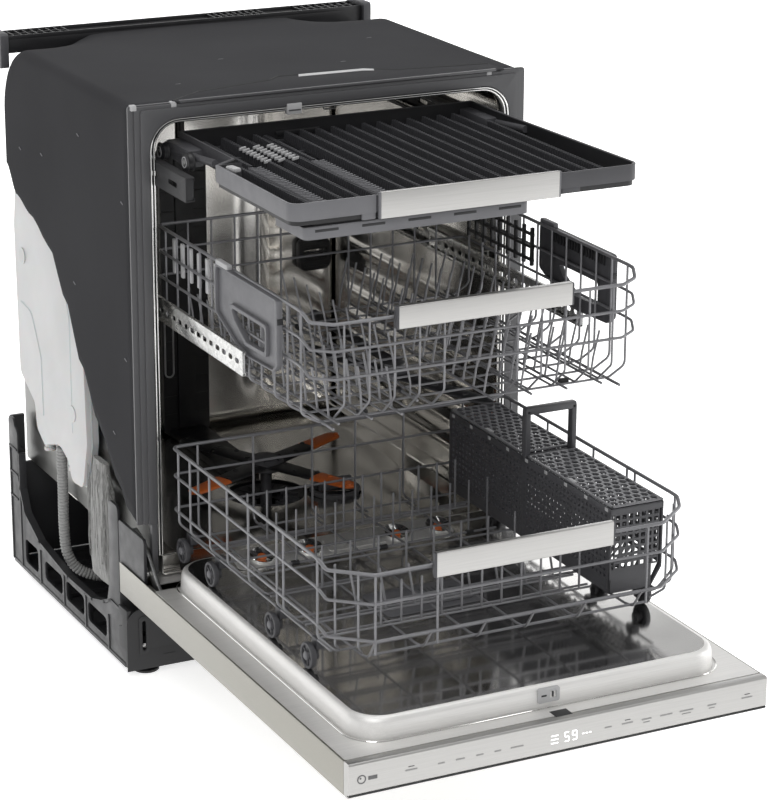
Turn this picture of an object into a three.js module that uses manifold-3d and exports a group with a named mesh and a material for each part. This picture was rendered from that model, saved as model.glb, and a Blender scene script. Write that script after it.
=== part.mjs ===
// A 24-inch built-in dishwasher with its door open and its three racks pulled out.
// Millimetres, +Z up. The front of the tub faces -Y and the open door lies over -Y.
import * as THREE from "three";
import { mergeVertices } from "three/addons/utils/BufferGeometryUtils.js";
import Module from "manifold-3d";

const wasm = await Module();
wasm.setup();

// ---- Driving dimensions ----

const GAP = 0.3; // clearance kept between touching pieces

const CABINET_HALF = 299; // half the width of the front frame
const FRAME_TOP = 838;
const FRAME_DEPTH = 12;
const BAR_HALF = 301.5; // half the width over the rear spacer bar
const BAR_TOP = 848;
const BACK = 560; // rearmost face, behind the plane of the front frame
const FLOOR_GAP = 12; // underside of the base

const TUB_HALF = 264; // inside half width
const TUB_WALL = 2;
const TUB_FLOOR = 174; // inside floor
const TUB_TOP = 812; // inside ceiling
const TUB_FRONT = 4;
const TUB_BACK = 552; // inside back wall
const TUB_CORNER = 35;
const LEDGE_TOP = 199; // side ledges that the lower rack rolls on
const LEDGE_INSIDE = 238;

const DOOR_REACH = 655; // front end of the open door, ahead of the front frame
const DOOR_HEEL = 84; // the door's lower end, tucked under the tub
const DOOR_HALF = 298;
const DOOR_UNDER = 124; // outer skin of the open door
const DOOR_TOP = 170; // liner flange of the open door
const DOOR_SKIN = 1.5;
const PANEL_BACK = 640.3; // rear face of the control panel
const PAN_HALF = 263;
const PAN_TOP = 199;
const PAN_FRONT = 612;
const PAN_REAR = 18;
const PAN_CORNER = 45;
const PIVOT = { y: 5, z: 177 };

// Thicknesses of the coated rack wires
const RIM_WIRE = 5;
const WIRE = 3.6;
const RIB_WIRE = 3.2;
const LENGTH_WIRE = 3;
const EDGE_WIRE = 4;
const RAIL_WIRE = 3.4;
const TINE_WIRE = 2.8;

const LOWER = {
  half: 258, grid: 236, front: 539, shoulder: 485, nose: 205, rear: 24,
  top: 362, middle: 322, low: 269, floor: 238, tineTop: 318,
};
const WHEEL = {
  radius: 17.5, inside: 240, width: 12, z: LEDGE_TOP + GAP + 17.5, places: [-28, -126, -322, -432],
};
const BASKET = {
  left: 165, right: 246, front: -478, rear: -30, under: 242, rim: 360, handle: -245, top: 430,
};
const MIDDLE = {
  half: 236, front: 425, rear: -66, corner: 28, top: 650, upper: 615, low: 579, floor: 508, grid: 200,
};
const TINE_HEIGHT = 76;
const TINE_LEAN = 12; // sideways lean of the middle rack's tines
const THIRD = {
  half: 237, tail: 213, step: 158, front: 388, rear: -40, under: 748, rim: 791, wall: 6, dip: 776,
};
const SUMP = { x: 0, y: 240, radius: 62 };
const FILTER = { x: 95, y: 200, radius: 38 };
const DISPENSER = { left: -82, right: 62, front: -332, rear: -246 };
const LATCH_HALF = 16;
const LOWER_ARM = { z0: 216, z1: 227, reach: 172, width: 42, angles: [0.45, 2.02] };
const MIDDLE_ARM = { z0: 478, z1: 487, reach: 185, width: 34, angles: [1.9] };
const TOP_ARM = { z0: 794, z1: 800, reach: 120, width: 30, angles: [0.3] };

const CENTRE_OFFSET = (DOOR_REACH - BACK) / 2; // moves the middle of the whole object over the origin

// ---- Materials ----

function material(color, roughness, metalness = 0) {
  return new THREE.MeshStandardMaterial({ color, roughness, metalness });
}

const stainless = material(0xc9c8c4, 0.25, 1);
const brushed = material(0xb4b2ae, 0.38, 1);
const galvanised = material(0xa8a8a6, 0.4, 1);
const chrome = material(0xe4e4e2, 0.08, 1);
const charcoalPaint = material(0x4a4a4c, 0.45, 0.2);
const blackPaint = material(0x262628, 0.5, 0.2);
const blackPlastic = material(0x1d1d1f, 0.55);
const darkPlastic = material(0x3b3b3e, 0.5);
const greyPlastic = material(0x6e6e70, 0.5);
const whitePlastic = material(0xd8d8d4, 0.4);
const coatedWire = material(0x8a8a8c, 0.4, 0.1);
const blanketFelt = material(0x3b3b3d, 0.85);
const fibre = material(0x8f8f8d, 0.95);
const rubber = material(0x2a2a2b, 0.7);
const castIron = material(0x55565a, 0.6, 0.6);
const hoseGrey = material(0x9b9b98, 0.5);

// ---- Solids ----

function solid(geometry) {
  const flat = geometry.index ? geometry.toNonIndexed() : geometry.clone();
  flat.deleteAttribute("normal");
  flat.deleteAttribute("uv");
  const merged = mergeVertices(flat, 1e-4);
  return new wasm.Manifold(
    new wasm.Mesh({
      numProp: 3,
      vertProperties: merged.attributes.position.array,
      triVerts: new Uint32Array(merged.index.array),
    }),
  );
}

function geometryOf(shape) {
  const mesh = shape.getMesh();
  const geometry = new THREE.BufferGeometry();
  geometry.setAttribute("position", new THREE.BufferAttribute(mesh.vertProperties, 3));
  geometry.setIndex(new THREE.BufferAttribute(mesh.triVerts, 1));
  const faceted = geometry.toNonIndexed();
  faceted.computeVertexNormals();
  return faceted;
}

const join = (shapes) => shapes.reduce((sum, next) => sum.add(next));
const cut = (body, holes) => holes.reduce((rest, hole) => rest.subtract(hole), body);

function node(parent, name, shape, finish) {
  const mesh = new THREE.Mesh(geometryOf(shape), finish);
  mesh.name = name;
  parent.add(mesh);
  return mesh;
}

function box(x0, x1, y0, y1, z0, z1) {
  const geometry = new THREE.BoxGeometry(x1 - x0, y1 - y0, z1 - z0);
  return solid(geometry.translate((x0 + x1) / 2, (y0 + y1) / 2, (z0 + z1) / 2));
}

// A pair of boxes mirrored about the middle of the machine; x0 and x1 are distances from it.
function boxPair(x0, x1, y0, y1, z0, z1) {
  return [box(x0, x1, y0, y1, z0, z1), box(-x1, -x0, y0, y1, z0, z1)];
}

function extrusion(outline, depth, curveSegments = 6) {
  const shape = outline instanceof THREE.Shape ? outline : polygon(outline);
  return new THREE.ExtrudeGeometry(shape, { depth, bevelEnabled: false, curveSegments });
}

// An outline in (y, z), extruded along x.
function sidePlate(outline, x0, x1, curveSegments = 6) {
  const geometry = extrusion(outline, x1 - x0, curveSegments);
  geometry.applyMatrix4(new THREE.Matrix4().set(0, 0, 1, x0, 1, 0, 0, 0, 0, 1, 0, 0, 0, 0, 0, 1));
  return solid(geometry);
}

// An outline in (x, z), extruded along y.
function frontPlate(outline, y0, y1) {
  const geometry = extrusion(outline, y1 - y0);
  geometry.applyMatrix4(new THREE.Matrix4().set(1, 0, 0, 0, 0, 0, -1, y1, 0, 1, 0, 0, 0, 0, 0, 1));
  return solid(geometry);
}

// An outline in (x, y), extruded along z.
function floorPlate(outline, z0, z1) {
  return solid(extrusion(outline, z1 - z0).translate(0, 0, z0));
}

function polygon(points) {
  return new THREE.Shape(points.map(([a, b]) => new THREE.Vector2(a, b)));
}

function roundedRectangle(x0, x1, y0, y1, radius) {
  const shape = new THREE.Shape();
  shape.moveTo(x0 + radius, y0);
  shape.absarc(x1 - radius, y0 + radius, radius, -Math.PI / 2, 0);
  shape.absarc(x1 - radius, y1 - radius, radius, 0, Math.PI / 2);
  shape.absarc(x0 + radius, y1 - radius, radius, Math.PI / 2, Math.PI);
  shape.absarc(x0 + radius, y0 + radius, radius, Math.PI, 1.5 * Math.PI);
  return shape;
}

// An upright archway outline: square at the foot, rounded at the top corners.
function archway(half, foot, top, radius) {
  const shape = new THREE.Shape();
  shape.moveTo(-half, foot);
  shape.lineTo(half, foot);
  shape.lineTo(half, top - radius);
  shape.absarc(half - radius, top - radius, radius, 0, Math.PI / 2);
  shape.absarc(-half + radius, top - radius, radius, Math.PI / 2, Math.PI);
  return shape;
}

function cylinder(axis, radius, centre, length, sides = 16) {
  const geometry = new THREE.CylinderGeometry(radius, radius, length, sides);
  if (axis === "x") geometry.rotateZ(-Math.PI / 2);
  if (axis === "z") geometry.rotateX(Math.PI / 2);
  return solid(geometry.translate(...centre));
}

// A turned shape about a vertical line; the profile is (radius, z).
function turned(profile, x, y, sides = 16) {
  const points = profile.map(([radius, z]) => new THREE.Vector2(radius, z));
  const geometry = new THREE.LatheGeometry(points, sides);
  return solid(geometry.rotateX(Math.PI / 2).translate(x, y, 0));
}

// The outline of an even band along a line of points, with mitred corners. A closed line runs anticlockwise.
function band(points, width, closed = false) {
  const path = points.map(([a, b]) => new THREE.Vector2(a, b));
  const leftOf = (direction) => new THREE.Vector2(-direction.y, direction.x);
  const edge = (offset) => path.map((point, index) => {
    const before = path[index - 1] ?? (closed ? path.at(-1) : null);
    const after = path[index + 1] ?? (closed ? path[0] : null);
    const leaving = after ? after.clone().sub(point).normalize() : point.clone().sub(before).normalize();
    const arriving = before ? point.clone().sub(before).normalize() : leaving;
    const mitre = leftOf(arriving.clone().add(leaving).normalize());
    return point.clone().addScaledVector(mitre, offset / mitre.dot(leftOf(arriving)));
  });
  const inner = edge(width / 2);
  const outer = edge(-width / 2);
  if (!closed) return new THREE.Shape([...outer, ...inner.reverse()]);
  const shape = new THREE.Shape(outer);
  shape.holes.push(new THREE.Path(inner));
  return shape;
}

// A square-section wire lying in one plane; axis is the plane's normal and at is its place on that axis.
function wire(axis, at, points, width, closed = false) {
  const extrude = { x: sidePlate, y: frontPlate, z: floorPlate }[axis];
  return extrude(band(points, width, closed), at - width / 2, at + width / 2);
}

// A basket wire that runs down one side, across the floor and up the other side.
function sideRib(rack, y, bend) {
  const { half, grid, top, floor } = rack;
  const left = [[-half, top], [-half, bend], [-grid, floor]];
  const right = [[grid, floor], [half, bend], [half, top]];
  return wire("y", y, [...left, ...right], RIB_WIRE);
}

// A basket wire that runs down the back, along the floor and up the front.
function lengthRib(rack, x) {
  const { front, rear, top, floor } = rack;
  return wire("x", x, [[-rear, top], [-rear, floor], [-front, floor], [-front, top]], LENGTH_WIRE);
}

function tine(x, y, z, height, lean = 0) {
  return wire("y", y, [[x, z], [x + lean, z + height]], TINE_WIRE);
}

// ---- Cabinet ----

function makeTub() {
  const wall = TUB_WALL;
  const outside = archway(TUB_HALF + wall, TUB_FLOOR - wall, TUB_TOP + wall, TUB_CORNER + wall);
  const inside = archway(TUB_HALF, TUB_FLOOR, TUB_TOP, TUB_CORNER);
  const shell = frontPlate(outside, TUB_FRONT, TUB_BACK + wall);
  const hollow = frontPlate(inside, TUB_FRONT - 1, TUB_BACK);
  const sumpHole = cylinder("z", SUMP.radius, [SUMP.x, SUMP.y, TUB_FLOOR], 20, 20);
  const filterHole = cylinder("z", FILTER.radius + 3, [FILTER.x, FILTER.y, TUB_FLOOR], 20, 20);
  const ledges = boxPair(LEDGE_INSIDE, TUB_HALF + 1, 8, TUB_BACK + 1, TUB_FLOOR - 1, LEDGE_TOP);
  return join([cut(shell, [hollow, sumpHole, filterHole]), ...ledges]);
}

// The painted flange round the mouth of the tub, open at the foot for the door.
function makeFrontFrame() {
  const legFoot = 250;
  const mouth = 269;
  const rim = 812.6 + 3;
  const plate = box(-CABINET_HALF, CABINET_HALF, 0, FRAME_DEPTH, legFoot, FRAME_TOP);
  const opening = frontPlate(archway(mouth, legFoot - 5, rim, TUB_CORNER + 5), -1, FRAME_DEPTH + 1);
  const lowerLegs = boxPair(mouth, 280, 0, FRAME_DEPTH, TUB_FLOOR, legFoot + 1);
  const lip = box(-235, 235, 0, 8, FRAME_TOP - 1, FRAME_TOP + 4);
  return join([cut(plate, [opening]), ...lowerLegs, lip]);
}

function makeTubGasket() {
  const outside = archway(268.7, 202, TUB_TOP + 3.3, TUB_CORNER + 4.7);
  const inside = archway(TUB_HALF + TUB_WALL + GAP, 200, TUB_TOP + TUB_WALL + GAP, TUB_CORNER + 2.3);
  return cut(frontPlate(outside, 1, 10), [frontPlate(inside, 0, 11)]);
}

// Felt jacket over the top and down both sides; its lower rear edge is cut in a wave.
function makeSoundBlanket() {
  const front = FRAME_DEPTH + GAP;
  const rear = 505;
  const round = 90;
  const thickness = 4.6;
  const half = CABINET_HALF - 0.4;
  const wave = [
    [80, 292], [150, 352], [215, 425], [270, 505], [330, 568], [405, 598], [465, 616], [rear, 655],
  ];
  const outline = new THREE.Shape();
  outline.moveTo(front, FRAME_TOP);
  outline.lineTo(front, 252);
  outline.splineThru(wave.map(([y, z]) => new THREE.Vector2(y, z)));
  outline.lineTo(rear, FRAME_TOP - round);
  outline.absarc(rear - round, FRAME_TOP - round, round, 0, Math.PI / 2);
  const jacket = sidePlate(outline, -half, half, 4);
  const core = box(-half + thickness, half - thickness, front - 1, rear + 1, 200, FRAME_TOP - thickness);
  const topFlap = box(-235, 235, rear - round - 5, rear - 6, FRAME_TOP - thickness, FRAME_TOP);
  return join([cut(jacket, [core]), topFlap]);
}

function makeRearTopBar() {
  const caps = boxPair(289, BAR_HALF, 498, BACK, 796, BAR_TOP);
  const bar = box(-290, 290, 506, 550, 818, BAR_TOP - 5);
  const pads = boxPair(190, 290, 508, 548, 816, 819);
  return join([bar, ...caps, ...pads]);
}

function makeBaseTray() {
  const outside = 298;
  const skin = 6;
  const pan = box(-outside, outside, 66, 545, FLOOR_GAP, 20);
  const rails = boxPair(outside - skin, outside, 66, 545, 19, 98);
  const frontPosts = boxPair(outside - skin, outside, 90, 128, 97, 250);
  const rearPosts = boxPair(outside - skin, outside, 452, 545, 97, 250);
  const rearWings = boxPair(272, outside - skin + 1, 535, 545, 19, 250);
  const frontWings = boxPair(240, outside - skin + 1, 90, 98, 19, 165);
  const frontBeam = box(-outside, outside, 90, 98, 120, TUB_FLOOR - TUB_WALL - GAP);
  const rearBeam = box(-outside, outside, 535, 545, 19, TUB_FLOOR - TUB_WALL - GAP);
  const hingePlates = boxPair(290.5, 295.5, -4, 91, 150, 232);
  const windows = [140, 245, 350].flatMap((y) =>
    boxPair(outside - skin - 1, outside + 1, y, y + 80, 34, 82));
  const body = join([
    pan, ...rails, ...frontPosts, ...rearPosts, ...rearWings, ...frontWings,
    frontBeam, rearBeam, ...hingePlates,
  ]);
  return cut(body, windows);
}

function makeKickPlate() {
  const shape = new THREE.Shape();
  const corner = 22;
  shape.moveTo(-CABINET_HALF, 10);
  shape.lineTo(CABINET_HALF, 10);
  shape.lineTo(CABINET_HALF, 103 - corner);
  shape.absarc(CABINET_HALF - corner, 103 - corner, corner, 0, Math.PI / 2);
  shape.absarc(-CABINET_HALF + corner, 103 - corner, corner, Math.PI / 2, Math.PI);
  const slots = boxPair(270, 276, 50, 65, 38, 86);
  return cut(frontPlate(shape, 58, 60.5), slots);
}

function makeFoot(x, y) {
  const pad = cylinder("z", 19, [x, y, 3], 6, 14);
  const stem = cylinder("z", 6, [x, y, 8.6], 6.2, 10);
  return join([pad, stem]);
}

function makeWaterGuide() {
  const outline = [
    [262, 255], [430, 255], [436, 300], [500, 330], [506, 560], [490, 640],
    [300, 640], [240, 470], [240, 300],
  ];
  const tank = sidePlate(outline, -291, -270);
  const outlets = [300, 402].map((y) => cylinder("z", 9, [-280.5, y, 246], 22, 12));
  return join([tank, ...outlets]);
}

// The grey ribbed hose from the water guide down into the base and across to the sump.
function makeDrainHose() {
  const route = new THREE.CatmullRomCurve3(
    [
      [-280.5, 352, 254], [-280.5, 354, 226], [-279, 357, 180], [-279, 358, 130],
      [-276, 354, 84], [-258, 346, 56], [-215, 330, 44], [-150, 300, 46],
      [-100, 268, 66], [-84, 256, 84], [-66, 250, 94],
    ].map((point) => new THREE.Vector3(...point)),
  );
  const section = new THREE.Shape().absarc(0, 0, 8.5, 0, 2 * Math.PI);
  const geometry = new THREE.ExtrudeGeometry(section, { steps: 20, extrudePath: route, curveSegments: 4 });
  return solid(geometry);
}

function makeCirculationPump() {
  const motor = cylinder("y", 42, [0, 392, 72], 100, 18);
  const volute = cylinder("y", 50, [0, 330, 72], 28, 18);
  const outlet = box(-18, 18, 322, 340, 100, 150);
  return join([motor, volute, outlet]);
}

// The cup under the floor, with the post of the lower spray arm and the filter's well.
function makeSump() {
  const floor = TUB_FLOOR - TUB_WALL - GAP;
  const cupProfile = [
    [0, 84], [58, 84], [64, 100], [64, 160], [84, 160], [84, floor],
    [60, floor], [60, 102], [9, 90], [9, 211], [0, 211],
  ];
  const wellProfile = [
    [0, 104], [44, 104], [44, 158], [56, 158], [56, floor], [41, floor], [41, 108], [0, 108],
  ];
  const cup = turned(cupProfile, SUMP.x, SUMP.y);
  const well = turned(wellProfile, FILTER.x, FILTER.y);
  const passage = cylinder("z", FILTER.radius + 3, [FILTER.x, FILTER.y, 145], 74, 20);
  return cut(join([cup, well]), [passage]);
}

function makeFilterCup() {
  const { x, y, radius } = FILTER;
  const profile = [
    [0, 112], [radius - 4, 112], [radius - 2, 176], [radius + 1, 178], [radius + 1, 181], [0, 181],
  ];
  const basket = turned(profile, x, y);
  const grip = box(x - 27, x + 27, y - 4, y + 4, 180, 198);
  return join([basket, grip]);
}

// The water channel: along the floor from the sump, up the back wall and forward under the ceiling.
function makeFeedDuct() {
  const front = TUB_BACK - 13;
  const back = TUB_BACK - GAP;
  const floorRun = box(-30, 30, 322, back, TUB_FLOOR + GAP, 186);
  const riser = box(-39, 39, front, back, TUB_FLOOR + GAP, 640);
  const neck = box(-9, 9, front, back, 639, TUB_TOP - GAP);
  const ceilingRun = box(-9, 9, 258, back, 803, TUB_TOP - GAP);
  const port = cylinder("y", 15, [0, front - 1, 496], 4, 16);
  return join([floorRun, riser, neck, ceilingRun, port]);
}

function makeLatchStrike() {
  const bracket = box(-16, 16, 14, 34, 805, TUB_TOP - GAP);
  const slot = box(-9, 9, 13, 28, 804, 808.5);
  return cut(bracket, [slot]);
}

// Sprayer bars with rounded ends through a round hub.
function sprayArm(x, y, { z0, z1, reach, width, angles }, hub) {
  const arms = angles.map((angle) => {
    const outline = roundedRectangle(-reach, reach, -width / 2, width / 2, width / 2 - 1);
    return solid(extrusion(outline, z1 - z0, 3).rotateZ(angle).translate(x, y, z0));
  });
  const boss = cylinder("z", hub.radius, [x, y, (hub.z0 + hub.z1) / 2], hub.z1 - hub.z0, 16);
  return join([...arms, boss]);
}

// ---- Rails ----

// A C-section runner that opens towards the racks; side is 1 on the right and -1 on the left.
function runner(side, inside, outside, y0, y1, z0, z1, web) {
  const x = (distance) => side * distance;
  const span = (a, b) => [Math.min(x(a), x(b)), Math.max(x(a), x(b))];
  const body = box(...span(inside, outside), y0, y1, z0, z1);
  const channel = box(...span(inside - 1, outside - web), y0 - 1, y1 + 1, z0 + web, z1 - web);
  return cut(body, [channel]);
}

// ---- Door ----

function makeDoorOuterPanel() {
  const body = box(-DOOR_HALF, DOOR_HALF, -PANEL_BACK + GAP, DOOR_HEEL, DOOR_UNDER, DOOR_TOP - GAP);
  const inner = DOOR_HALF - DOOR_SKIN;
  const underside = DOOR_UNDER + DOOR_SKIN;
  const hollow = box(-inner, inner, -PANEL_BACK - 1, DOOR_HEEL - DOOR_SKIN, underside, DOOR_TOP + 1);
  const hingeGaps = boxPair(272, inner, DOOR_HEEL - 5, DOOR_HEEL + 1, underside, 180);
  return cut(body, [hollow, ...hingeGaps]);
}

function makeDoorLiner() {
  const skin = DOOR_SKIN;
  const flangeHalf = DOOR_HALF - DOOR_SKIN - 0.7;
  const flange = box(-flangeHalf, flangeHalf, -PANEL_BACK + GAP, -42, DOOR_TOP - skin, DOOR_TOP);
  const tail = box(-280, 280, -43, 62, DOOR_TOP - skin, DOOR_TOP);
  const panOutline = (inset) => roundedRectangle(
    -PAN_HALF + inset, PAN_HALF - inset, -PAN_FRONT + inset, -PAN_REAR - inset, PAN_CORNER - inset,
  );
  const pan = floorPlate(panOutline(0), DOOR_TOP - skin, PAN_TOP);
  const hollow = floorPlate(panOutline(skin), DOOR_TOP - skin - 1, PAN_TOP - skin);
  const { left, right, front, rear } = DISPENSER;
  const dispenserHole = box(left + 6, right - 6, front + 6, rear - 6, PAN_TOP - 5, PAN_TOP + 1);
  const latchHole = box(-LATCH_HALF - 1, LATCH_HALF + 1, -PAN_FRONT - 1, -PAN_FRONT + 16, 175, 197);
  return cut(join([flange, tail, pan]), [hollow, dispenserHole, latchHole]);
}

function makeControlPanel() {
  const reach = -DOOR_REACH;
  const outline = [
    [reach, 132], [reach, DOOR_TOP - 2], [reach + 2, DOOR_TOP], [-PANEL_BACK, DOOR_TOP],
    [-PANEL_BACK, DOOR_UNDER], [reach + 4, DOOR_UNDER], [reach + 1.5, 131],
  ];
  return sidePlate(outline, -DOOR_HALF, DOOR_HALF);
}

// Triangular steel lever riveted inside the door's edge; its high corner takes the balance cable.
function makeHingeArm(side) {
  const outline = [
    [-120, 132], [-120, 150], [-45, 164], [18, 222], [50, 232], [60, 222], [44, 190], [26, 160], [10, 132],
  ];
  const inside = side > 0 ? 283.5 : -288.5;
  const plate = sidePlate(outline, inside, inside + 5);
  const pin = cylinder("x", 5, [side * 288.7, PIVOT.y, PIVOT.z], 3, 12);
  return join([plate, pin]);
}

function makeDoorLatch() {
  const body = box(-LATCH_HALF, LATCH_HALF, -PAN_FRONT - 1, -PAN_FRONT + 12, 176, 196);
  const notch = box(2, 11, -PAN_FRONT - 2, -PAN_FRONT + 5, 181, 191);
  return cut(body, [notch]);
}

function makeDispenserBody() {
  const { left, right, front, rear } = DISPENSER;
  const flange = box(left, right, front, rear, PAN_TOP + GAP, PAN_TOP + 2.3);
  const well = box(left + 7, right - 7, front + 7, rear - 7, 176, PAN_TOP + 1);
  const cup = box(-12, 50, front + 14, rear - 14, 180, PAN_TOP + 5);
  const cap = cylinder("z", 14, [-46, (front + rear) / 2, PAN_TOP + 3], 5, 16);
  return join([cut(join([flange, well]), [cup]), cap]);
}

function makeSteamBar() {
  const top = PAN_TOP + GAP;
  const base = box(-182, 146, -92, -48, top, top + 1);
  const strip = box(-62, 34, -88, -52, top + 0.5, top + 4);
  const dishes = [-155, -86, 58, 121].map((x) =>
    turned([[0, top + 0.5], [17, top + 0.5], [17, top + 5], [5, top + 2], [0, top + 2]], x, -70, 12));
  return join([base, strip, ...dishes]);
}

// ---- Lower rack and its basket ----

// The rack's outline from above: straight sides and a nose with cut corners.
function lowerHoop() {
  const { half, nose, front, shoulder, rear } = LOWER;
  return [
    [-half, -rear], [-half, -shoulder], [-nose, -front], [nose, -front], [half, -shoulder], [half, -rear],
  ];
}

function makeLowerRackFrame() {
  const { grid, shoulder, rear, top, middle, low, floor, nose, tineTop } = LOWER;
  const rim = wire("z", top, lowerHoop(), RIM_WIRE, true);
  const hoops = [middle, low].map((z) => wire("z", z, lowerHoop(), WIRE, true));
  const ribs = [-rear - 8, -170, -320, -shoulder + 12].map((y) => sideRib(LOWER, y, low - 6));
  const lengths = [-nose + 10, 0, nose - 10].map((x) => lengthRib(LOWER, x));
  const edges = [-grid, grid].map((x) =>
    wire("x", x, [[-rear - 4, floor], [-shoulder + 8, floor]], EDGE_WIRE));
  const fixedRows = [-300, -118];
  const tines = fixedRows.flatMap((y) =>
    [-170, -120, -45, 30, 105].map((x) => tine(x, y, floor, tineTop - floor)));
  const tineRails = fixedRows.map((y) => wire("y", y, [[-grid, floor], [grid, floor]], RAIL_WIRE));
  const axles = WHEEL.places.flatMap((y) => [-1, 1].map((side) => {
    const near = side * (grid - 3);
    const far = side * (WHEEL.inside - GAP);
    return box(Math.min(near, far), Math.max(near, far), y - 5, y + 5, WHEEL.z - 6, floor + 1);
  }));
  return join([rim, ...hoops, ...ribs, ...lengths, ...edges, ...tineRails, ...tines, ...axles]);
}

// A bowed bar across the front of a rack.
function handle(half, front, thickness, z0, z1) {
  const bar = box(-half, half, front, front + thickness, z0, z1);
  const hollow = box(-half + 4, half - 4, front + 1.6, front + thickness + 1, z0 + 1.6, z1 - 1.6);
  return cut(bar, [hollow]);
}

function makeWheel(side, y) {
  const x = side * (WHEEL.inside + WHEEL.width / 2);
  const tread = cylinder("x", WHEEL.radius, [x, y, WHEEL.z], WHEEL.width - 4, 16);
  const boss = cylinder("x", 9, [x, y, WHEEL.z], WHEEL.width, 8);
  return join([tread, boss]);
}

function makeCutleryBasket() {
  const { left, right, front, rear, under, rim, handle: handleY, top } = BASKET;
  const skin = 2.5;
  const chamfer = { x: 16, z: 26 };
  const section = (inset, lid) => [
    [left + inset, under + inset], [right - chamfer.x - inset, under + inset],
    [right - inset, under + chamfer.z], [right - inset, lid], [left + inset, lid],
  ];
  const outside = frontPlate(section(0, rim), front, rear);
  const bridge = { y0: handleY - 7, y1: handleY + 7 };
  const frontBay = frontPlate(section(skin, rim + 1), front + skin, bridge.y0);
  const rearBay = frontPlate(section(skin, rim + 1), bridge.y1, rear - skin);
  const bail = cut(box(left, right, bridge.y0, bridge.y1, rim - 1, top), [
    box(left + 8, right - 8, bridge.y0 - 1, bridge.y1 + 1, rim + 4, top - 10),
  ]);
  return join([cut(outside, [frontBay, rearBay]), bail]);
}

function makeBasketLid(y0, y1) {
  const { left, right, rim } = BASKET;
  const z0 = rim + GAP;
  const z1 = z0 + 3;
  const plate = box(left + 2, right - 1, y0, y1, z0, z1);
  const cells = [];
  const across = 2;
  const along = 4;
  const cellX = (right - left - 11) / across;
  const cellY = (y1 - y0 - 8) / along;
  for (let i = 0; i < across; i++) {
    for (let j = 0; j < along; j++) {
      const x = left + 6 + i * cellX;
      const y = y0 + 5 + j * cellY;
      cells.push(box(x + 1.5, x + cellX - 1.5, y + 1.5, y + cellY - 1.5, z0 - 1, z1 + 1));
    }
  }
  return cut(plate, cells);
}

// Evenly spaced places along a line, half a step in from each end.
function spaced(start, end, count) {
  return Array.from({ length: count }, (_, index) => start + ((end - start) * (index + 0.5)) / count);
}

// The row of tines that folds flat about the rod at its foot.
function makeLowerTineRow() {
  const [start, end, y, z] = [-222, 150, -200, LOWER.floor + 6];
  const rod = wire("y", y, [[start, z], [end, z]], WIRE);
  return join([rod, ...spaced(start, end, 14).map((x) => tine(x, y, z, TINE_HEIGHT))]);
}

// ---- Middle rack ----

function middleHoop() {
  const { half, front, rear, corner } = MIDDLE;
  return [
    [-half, -rear], [-half, -front + corner], [-half + corner, -front], [half - corner, -front],
    [half, -front + corner], [half, -rear],
  ];
}

function makeMiddleRackFrame() {
  const { front, rear, top, upper, low, floor, grid } = MIDDLE;
  const rim = wire("z", top, middleHoop(), RIM_WIRE, true);
  const hoops = [upper, low].map((z) => wire("z", z, middleHoop(), WIRE, true));
  const ribs = [-380, -240, -100, 50].map((y) => sideRib(MIDDLE, y, low - 8));
  const lengths = [-170, 0, 170].map((x) => lengthRib(MIDDLE, x));
  const edges = [-grid, grid].map((x) =>
    wire("x", x, [[-front + 3, floor], [-rear - 3, floor]], EDGE_WIRE));
  const fixedRows = [20, 120];
  const tines = fixedRows.flatMap((x) =>
    [-330, -210, -70].map((y) => tine(x, y, floor, TINE_HEIGHT, TINE_LEAN)));
  const tineRails = fixedRows.map((x) => wire("x", x, [[-front, floor], [-rear, floor]], RAIL_WIRE));
  return join([rim, ...hoops, ...ribs, ...lengths, ...edges, ...tineRails, ...tines]);
}

function makeMiddleTineRow() {
  const [start, end, x, z] = [-385, 20, -70, MIDDLE.floor + 7];
  const rod = wire("x", x, [[start, z], [end, z]], WIRE);
  return join([rod, ...spaced(start, end, 8).map((y) => tine(x, y, z, TINE_HEIGHT, -TINE_LEAN))]);
}

function makeRackAdjuster(side) {
  const outline = [
    [-344, 568], [-344, 659], [-336, 662], [-156, 662], [-148, 655], [-148, 612], [-196, 560], [-210, 557],
    [-333, 557],
  ];
  const window = [[-322, 572], [-322, 622], [-196, 622], [-236, 572]];
  const x0 = side > 0 ? 238.6 : -246.6;
  const plate = cut(sidePlate(outline, x0, x0 + 8), [sidePlate(window, x0 - 1, x0 + 9)]);
  const [leverLeft, leverRight] = side > 0 ? [237, 246] : [-246, -237];
  const lever = box(leverLeft, leverRight, -190, -150, 661, 666);
  return join([plate, lever]);
}

function makeMiddleFeedTube() {
  const radius = 7;
  const z = 498;
  const tube = cylinder("y", radius, [0, -55, z], 250, 12);
  const mouth = cylinder("y", 7.8, [0, 64, z], 12, 12);
  const hub = cylinder("z", 16, [0, -180, 495], 10, 14);
  return join([tube, mouth, hub]);
}

// ---- Third rack ----

// The tray is wide at the front and steps in behind, where its roller carriers stand.
function thirdRackOutline(inset) {
  const { half, tail, step, front, rear } = THIRD;
  const corner = 22 - inset;
  const shape = new THREE.Shape();
  shape.moveTo(-tail + inset, -rear - inset);
  shape.lineTo(-tail + inset, -step + 24 - inset);
  shape.lineTo(-half + inset, -step - inset);
  shape.absarc(-half + inset + corner, -front + inset + corner, corner, Math.PI, 1.5 * Math.PI);
  shape.absarc(half - inset - corner, -front + inset + corner, corner, -Math.PI / 2, 0);
  shape.lineTo(half - inset, -step - inset);
  shape.lineTo(tail - inset, -step + 24 - inset);
  shape.lineTo(tail - inset, -rear - inset);
  return shape;
}

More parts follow.
